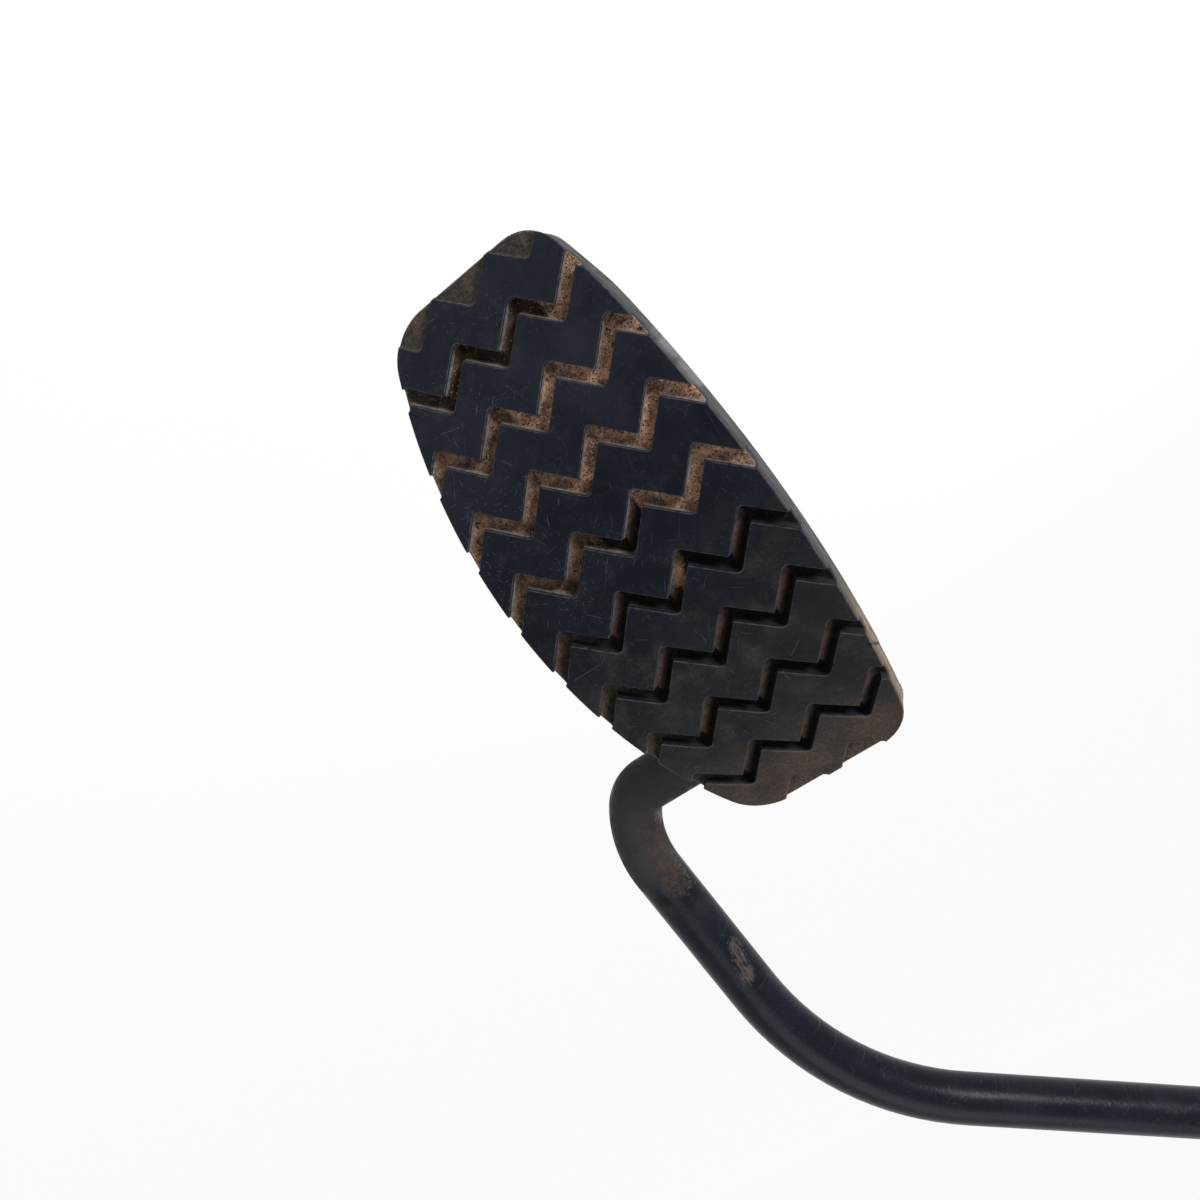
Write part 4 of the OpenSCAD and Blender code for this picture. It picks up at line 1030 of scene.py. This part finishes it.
bar_tree = geometry_tree("bar along a line", wire_bar, Radius="Float", Sides="Int", Material="Material")
grain_tree = geometry_tree("grains on faces", wire_grains, Density="Float", Grain_Radius="Float",
                           Seed="Int", Material="Material")


def make_bar(name, points, radius, sides, material, to_row, swells=None):
    """Round bar or wire through points in millimetres."""
    line = bpy.data.meshes.new(name + "_line")
    line.from_pydata(points, [(i, i + 1) for i in range(len(points) - 1)], [])
    store(line, "swell", swells or [1.0] * len(points))
    mesh = grow(bar_tree, line, Radius=radius, Sides=sides, Material=material)
    piece = new_piece(name, mesh, to_row)
    shade(mesh, 40)
    paint(piece, material)
    return piece


# ---- The bar

def rounded_path(corners, radii, step=3.0):
    """Points along a bent bar's axis: straights, and arcs with a point every few degrees."""
    points = [corners[0]]
    for i in range(1, len(corners) - 1):
        into = (corners[i] - corners[i - 1]).normalized()
        out = (corners[i + 1] - corners[i]).normalized()
        turn = into.angle(out)
        run = radii[i] * math.tan(turn / 2)
        centre_way = (out - into * into.dot(out)).normalized()
        start = corners[i] - into * run
        steps = max(2, math.ceil(math.degrees(turn) / step))
        for k in range(steps + 1):
            a = turn * k / steps
            point = start + into * radii[i] * math.sin(a) + centre_way * radii[i] * (1 - math.cos(a))
            if (point - points[-1]).length > 1e-4:
                points.append(point)
    return points + [corners[-1]]


def make_rod(material):
    """Hinge end, crook, long leg, long bend, arm and pivot shaft, with the clip's groove."""
    sweep_angle = math.pi / 2 - CROOK_ANGLE
    crook_run = CROOK_RADIUS * math.tan(CROOK_ANGLE / 2) + SWEEP_RADIUS * math.tan(sweep_angle / 2)
    aside = -math.sin(LEG_BEND)
    arm = Vector((aside * math.cos(LEG_ROLL), math.cos(LEG_BEND), aside * math.sin(LEG_ROLL)))
    leg_corner = Vector((LEG_OFFSET, LEG_TOP, HINGE_Z))
    shaft_corner = leg_corner + ARM_LENGTH * arm
    tip = Vector((-LUG_OFFSET - PLATE_T / 2 - HINGE_STUB, HINGE_UP, HINGE_Z))
    row_corner = pad_to_row @ shaft_corner
    shaft_end = shaft_corner - Vector((row_corner.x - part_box("pedal_rod")[0].x / MM, 0, 0))
    crook_corner = Vector((LEG_OFFSET - crook_run * math.cos(CROOK_ANGLE), HINGE_UP, HINGE_Z))
    sweep_corner = Vector((LEG_OFFSET, HINGE_UP + crook_run * math.sin(CROOK_ANGLE), HINGE_Z))
    path = rounded_path([tip, crook_corner, sweep_corner, leg_corner, shaft_corner, shaft_end],
                        [0, CROOK_RADIUS, SWEEP_RADIUS, LEG_RADIUS, SHAFT_RADIUS])
    right = Vector((1, 0, 0))
    narrow = 1 - ROD_CHAMFER / ROD_R
    groove = 1 - CLIP_GROOVE / ROD_R
    clip_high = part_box("shaft_clip")[1].x / MM + SEAT_FIT - pad_to_row.translation.x
    clip_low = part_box("shaft_clip")[0].x / MM - SEAT_FIT - pad_to_row.translation.x
    start = [(path[0], narrow), (path[0] + ROD_CHAMFER * right, 1.0)]
    middle = [(p, 1.0) for p in path[1:-1]]
    along = [(clip_high + 0.02, 1.0), (clip_high, groove), (clip_low, groove), (clip_low - 0.02, 1.0),
             (path[-1].x + ROD_CHAMFER, 1.0), (path[-1].x, narrow)]
    end = [(Vector((x, path[-1].y, path[-1].z)), swell) for x, swell in along]
    stations = start + middle + end
    rod = make_bar("pedal_bar", [p for p, _ in stations], ROD_R, 56, material, pad_to_row,
                   [s for _, s in stations])
    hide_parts("pedal_rod")
    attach(rod, "pedal")


def make_weld(name, start, end, material):
    """A rippled weld bead along a corner of the bracket."""
    bead_radius, ripple, end_reach = 1.7, 0.45, 8
    count = round((end - start).length / ripple)
    points, swells = [], []
    for i in range(count + 1):
        share = i / count
        sway = Vector((0, 0.10 * math.sin(2.3 * i), 0.12 * math.cos(0.7 * i)))
        points.append(start.lerp(end, share) + sway)
        thick = 0.90 + 0.09 * math.sin(1.6 * i) + 0.07 * math.sin(0.37 * i)
        swells.append(thick * min(1.0, 0.45 + end_reach * min(share, 1 - share)))
    bead = make_bar(name, points, bead_radius, 16, material, Matrix.Identity(4), swells)
    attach(bead, "bracket")


# ---- The springs

def coil_points(x, radius, start, end, pitch):
    """Points along a coil about the X axis between two angles in degrees."""
    points_per_turn = 40
    count = math.ceil(abs(end - start) / 360 * points_per_turn)
    points = []
    for i in range(count + 1):
        a = math.radians(start + (end - start) * i / count)
        run = abs(math.degrees(a) - start) / 360 * pitch
        points.append(Vector((x + run, radius * math.cos(a), radius * math.sin(a))))
    return points


def leaving_angle(point, radius, way):
    """Angle on a coil, in degrees, at which a straight leg to (y, z) leaves it."""
    return math.degrees(math.atan2(point[1], point[0]) + way * math.acos(radius / math.hypot(*point)))


def make_return_spring(material):
    """The coil on its spool, with one straight leg on the mounting plate and one hooked round the lever."""
    wire_r = RETURN_WIRE_D / 2
    radius = ROD_R + RUN_FIT + SPOOL_WALL + WIRE_GAP + wire_r
    coil_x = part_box("return_spring")[0].x / MM + wire_r
    hook_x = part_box("return_spring")[1].x / MM
    leg = (SHAFT_STANDOFF - BASE_T - wire_r - WIRE_GAP, RETURN_LEG)
    hook = (-LEVER_W / 2 - wire_r - 0.1, RETURN_HOOK)
    start = leaving_angle(leg, radius, -1)
    end = leaving_angle(hook, radius, 1) - 360 * (RETURN_TURNS + 1)
    coil = coil_points(coil_x, radius, start, end, RETURN_WIRE_D * COIL_SPACING)
    last_x = coil[-1].x
    tail = rounded_path([coil[-1], Vector((last_x, *hook)), Vector((hook_x, *hook))], [0, 1.6], 12)
    points = [Vector((coil_x, *leg))] + coil + tail[1:]
    spring = make_bar("return_torsion_spring", points, wire_r, 14, material, shaft_to_row)
    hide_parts("return_spring")
    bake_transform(spring)


def make_pad_spring(material):
    """The small coil on the bar's end, between the stop pin and the back of the pad's plate."""
    wire_r = PAD_WIRE_D / 2
    radius = ROD_R + WIRE_GAP + wire_r
    coil_x = STOP_PIN_R + 2 * PAD_WIRE_D
    leg = (PAD_LEG, math.sqrt(PLATE_BACK ** 2 - PAD_LEG ** 2) - HINGE_RADIUS - wire_r - 2 * STOP_GAP)
    start = 180 + PAD_TILT / 2 - math.degrees(math.asin((STOP_PIN_R + wire_r + WIRE_GAP) / radius))
    end = leaving_angle(leg, radius, -1) + 360 * (PAD_TURNS + 1)
    coil = coil_points(coil_x, radius, start, end, PAD_WIRE_D * COIL_SPACING)
    over = coil[0] - Vector((coil_x + STOP_PIN_R + wire_r, 0, 0))
    points = [over] + coil + [Vector((coil[-1].x, *leg))]
    spring = make_bar("pad_torsion_spring", points, wire_r, 12, material, hinge_to_row)
    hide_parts("pad_spring")
    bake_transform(spring)


# ---- Pieces that keep their solid's shape

def soften(node, width, material, body):
    """A CAD solid with its edges rounded over, and an attribute that marks them."""
    merge_gap, flat_angle, bevel_angle, smooth_angle = 2e-6, 0.4, 35, 34
    bm = bmesh.new()
    bm.from_mesh(frame["nodes"][node].data)
    bmesh.ops.remove_doubles(bm, verts=bm.verts, dist=merge_gap)
    bmesh.ops.dissolve_limit(bm, angle_limit=math.radians(flat_angle), verts=bm.verts, edges=bm.edges)
    piece = new_piece("soft_" + node, bm)
    piece.data.materials.clear()
    for part in ("face", "edge"):
        piece.data.materials.append(bpy.data.materials.new(part))
    bevel = piece.modifiers.new("soften", "BEVEL")
    bevel.width, bevel.segments, bevel.material = width * MM, 2, 1
    bevel.limit_method, bevel.angle_limit = "ANGLE", math.radians(bevel_angle)
    piece.data = mesh = applied(piece)
    piece.modifiers.clear()
    flat = np.zeros(len(mesh.vertices), bool)
    for face in mesh.polygons:
        if face.material_index == 0:
            flat[list(face.vertices)] = True
        face.material_index = 0
    store(mesh, "edge", np.where(flat, 0.25, 1.0))
    shade(mesh, smooth_angle)
    weigh = piece.modifiers.new("weigh", "WEIGHTED_NORMAL")
    weigh.keep_sharp, weigh.weight = True, 100
    piece.data = applied(piece)
    piece.modifiers.clear()
    paint(piece, material)
    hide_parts(node)
    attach(piece, body)


def soil_faces(tread):
    """The groove floors of the tread, with an attribute for how thickly grit lies on them."""
    mesh = tread.data
    low = np.zeros(len(mesh.vertices), np.float32)
    mesh.attributes["groove"].data.foreach_get("value", low)
    bm = bmesh.new()
    bm.from_mesh(mesh)
    bm.verts.ensure_lookup_table()
    bmesh.ops.delete(bm, geom=[f for f in bm.faces if min(low[v.index] for v in f.verts) < 0.5],
                     context="FACES")
    made = bpy.data.meshes.new("soil_faces")
    bm.to_mesh(made)
    bm.free()
    made.transform(pad_to_row.inverted() @ Matrix.Scale(1 / MM, 4))
    store(made, "soil", [grit_share(v.co.x, v.co.y) for v in made.vertices])
    return made


# ---- The scene

set_camera()
set_lamps()
lay_floor()

tread = make_tread(make_tread_finish())
grit_finish = make_grit_finish()
grains = grow(grain_tree, soil_faces(tread), Density=9.0, Grain_Radius=0.13, Seed=4, Material=grit_finish)
grit = new_piece("groove_grit", grains, pad_to_row)
paint(grit, grit_finish)
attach(grit, "pad")

rod_finish = make_rod_finish()
make_rod(rod_finish)
spring_finish = make_steel_finish("spring_steel_finish", (0.175, 0.17, 0.165), 0.10, 0.34)
make_return_spring(spring_finish)
make_pad_spring(spring_finish)

bracket_finish = make_painted_finish("bracket_paint_finish", (0.012, 0.0125, 0.015),
                                     (0.020, 0.021, 0.024), 0.80)
lever_finish = make_painted_finish("lever_paint_finish", (0.010, 0.0105, 0.013), (0.017, 0.018, 0.021), 0.85)
plate_finish = make_steel_finish("plate_steel_finish", (0.090, 0.083, 0.077), 0.22, 0.46)
bright_finish = make_steel_finish("bright_steel_finish", (0.39, 0.38, 0.365), 0.04, 0.30)
nylon_finish = make_nylon_finish()
plated_finish = make_plated_finish()
buffer_finish = make_buffer_finish()

for node, width, material, slot, body in (
        ("pad_plate", 0.20, plate_finish, "plate_steel", "pad"),
        ("stop_pin", 0.30, bright_finish, "bright_steel", "pedal"),
        ("cable_lever", 0.45, lever_finish, "rod_paint", "pedal"),
        ("cable_bush", 0.20, nylon_finish, "nylon", "pedal"),
        ("spring_spool", 0.20, nylon_finish, "nylon", "pedal"),
        ("mounting_plate", 0.45, bracket_finish, "bracket_paint", "bracket"),
        ("pivot_fork", 0.40, bracket_finish, "bracket_paint", "bracket"),
        ("shaft_bush_right", 0.25, nylon_finish, "nylon", "bracket"),
        ("shaft_bush_left", 0.25, nylon_finish, "nylon", "bracket"),
        ("wave_washer", 0.06, spring_finish, "spring_steel", "pedal"),
        ("plain_washer", 0.12, bright_finish, "bright_steel", "pedal"),
        ("shaft_clip", 0.10, spring_finish, "spring_steel", "pedal"),
        ("idle_buffer", 0.40, buffer_finish, "buffer_rubber", "bracket"),
        ("stop_screw", 0.35, plated_finish, "plated_steel", "bracket"),
        ("stop_lock_nut", 0.30, plated_finish, "plated_steel", "bracket"),
        ("stop_weld_nut", 0.30, plated_finish, "plated_steel", "bracket")):
    soften(node, width, material, body)

# The fork's web is welded to the plate along its top and its bottom
fork_low, fork_high = (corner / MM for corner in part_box("pivot_fork"))
plate_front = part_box("mounting_plate")[0].y / MM
WELD_MARGIN, WELD_SUNK = 4, 0.3
for name, z in (("weld_above", fork_high.z), ("weld_below", fork_low.z)):
    ends = (Vector((x, plate_front - WELD_SUNK, z))
            for x in (fork_low.x + WELD_MARGIN, fork_high.x - WELD_MARGIN))
    make_weld(name, *ends, bracket_finish)

SCENE.view_settings.view_transform = "Standard"
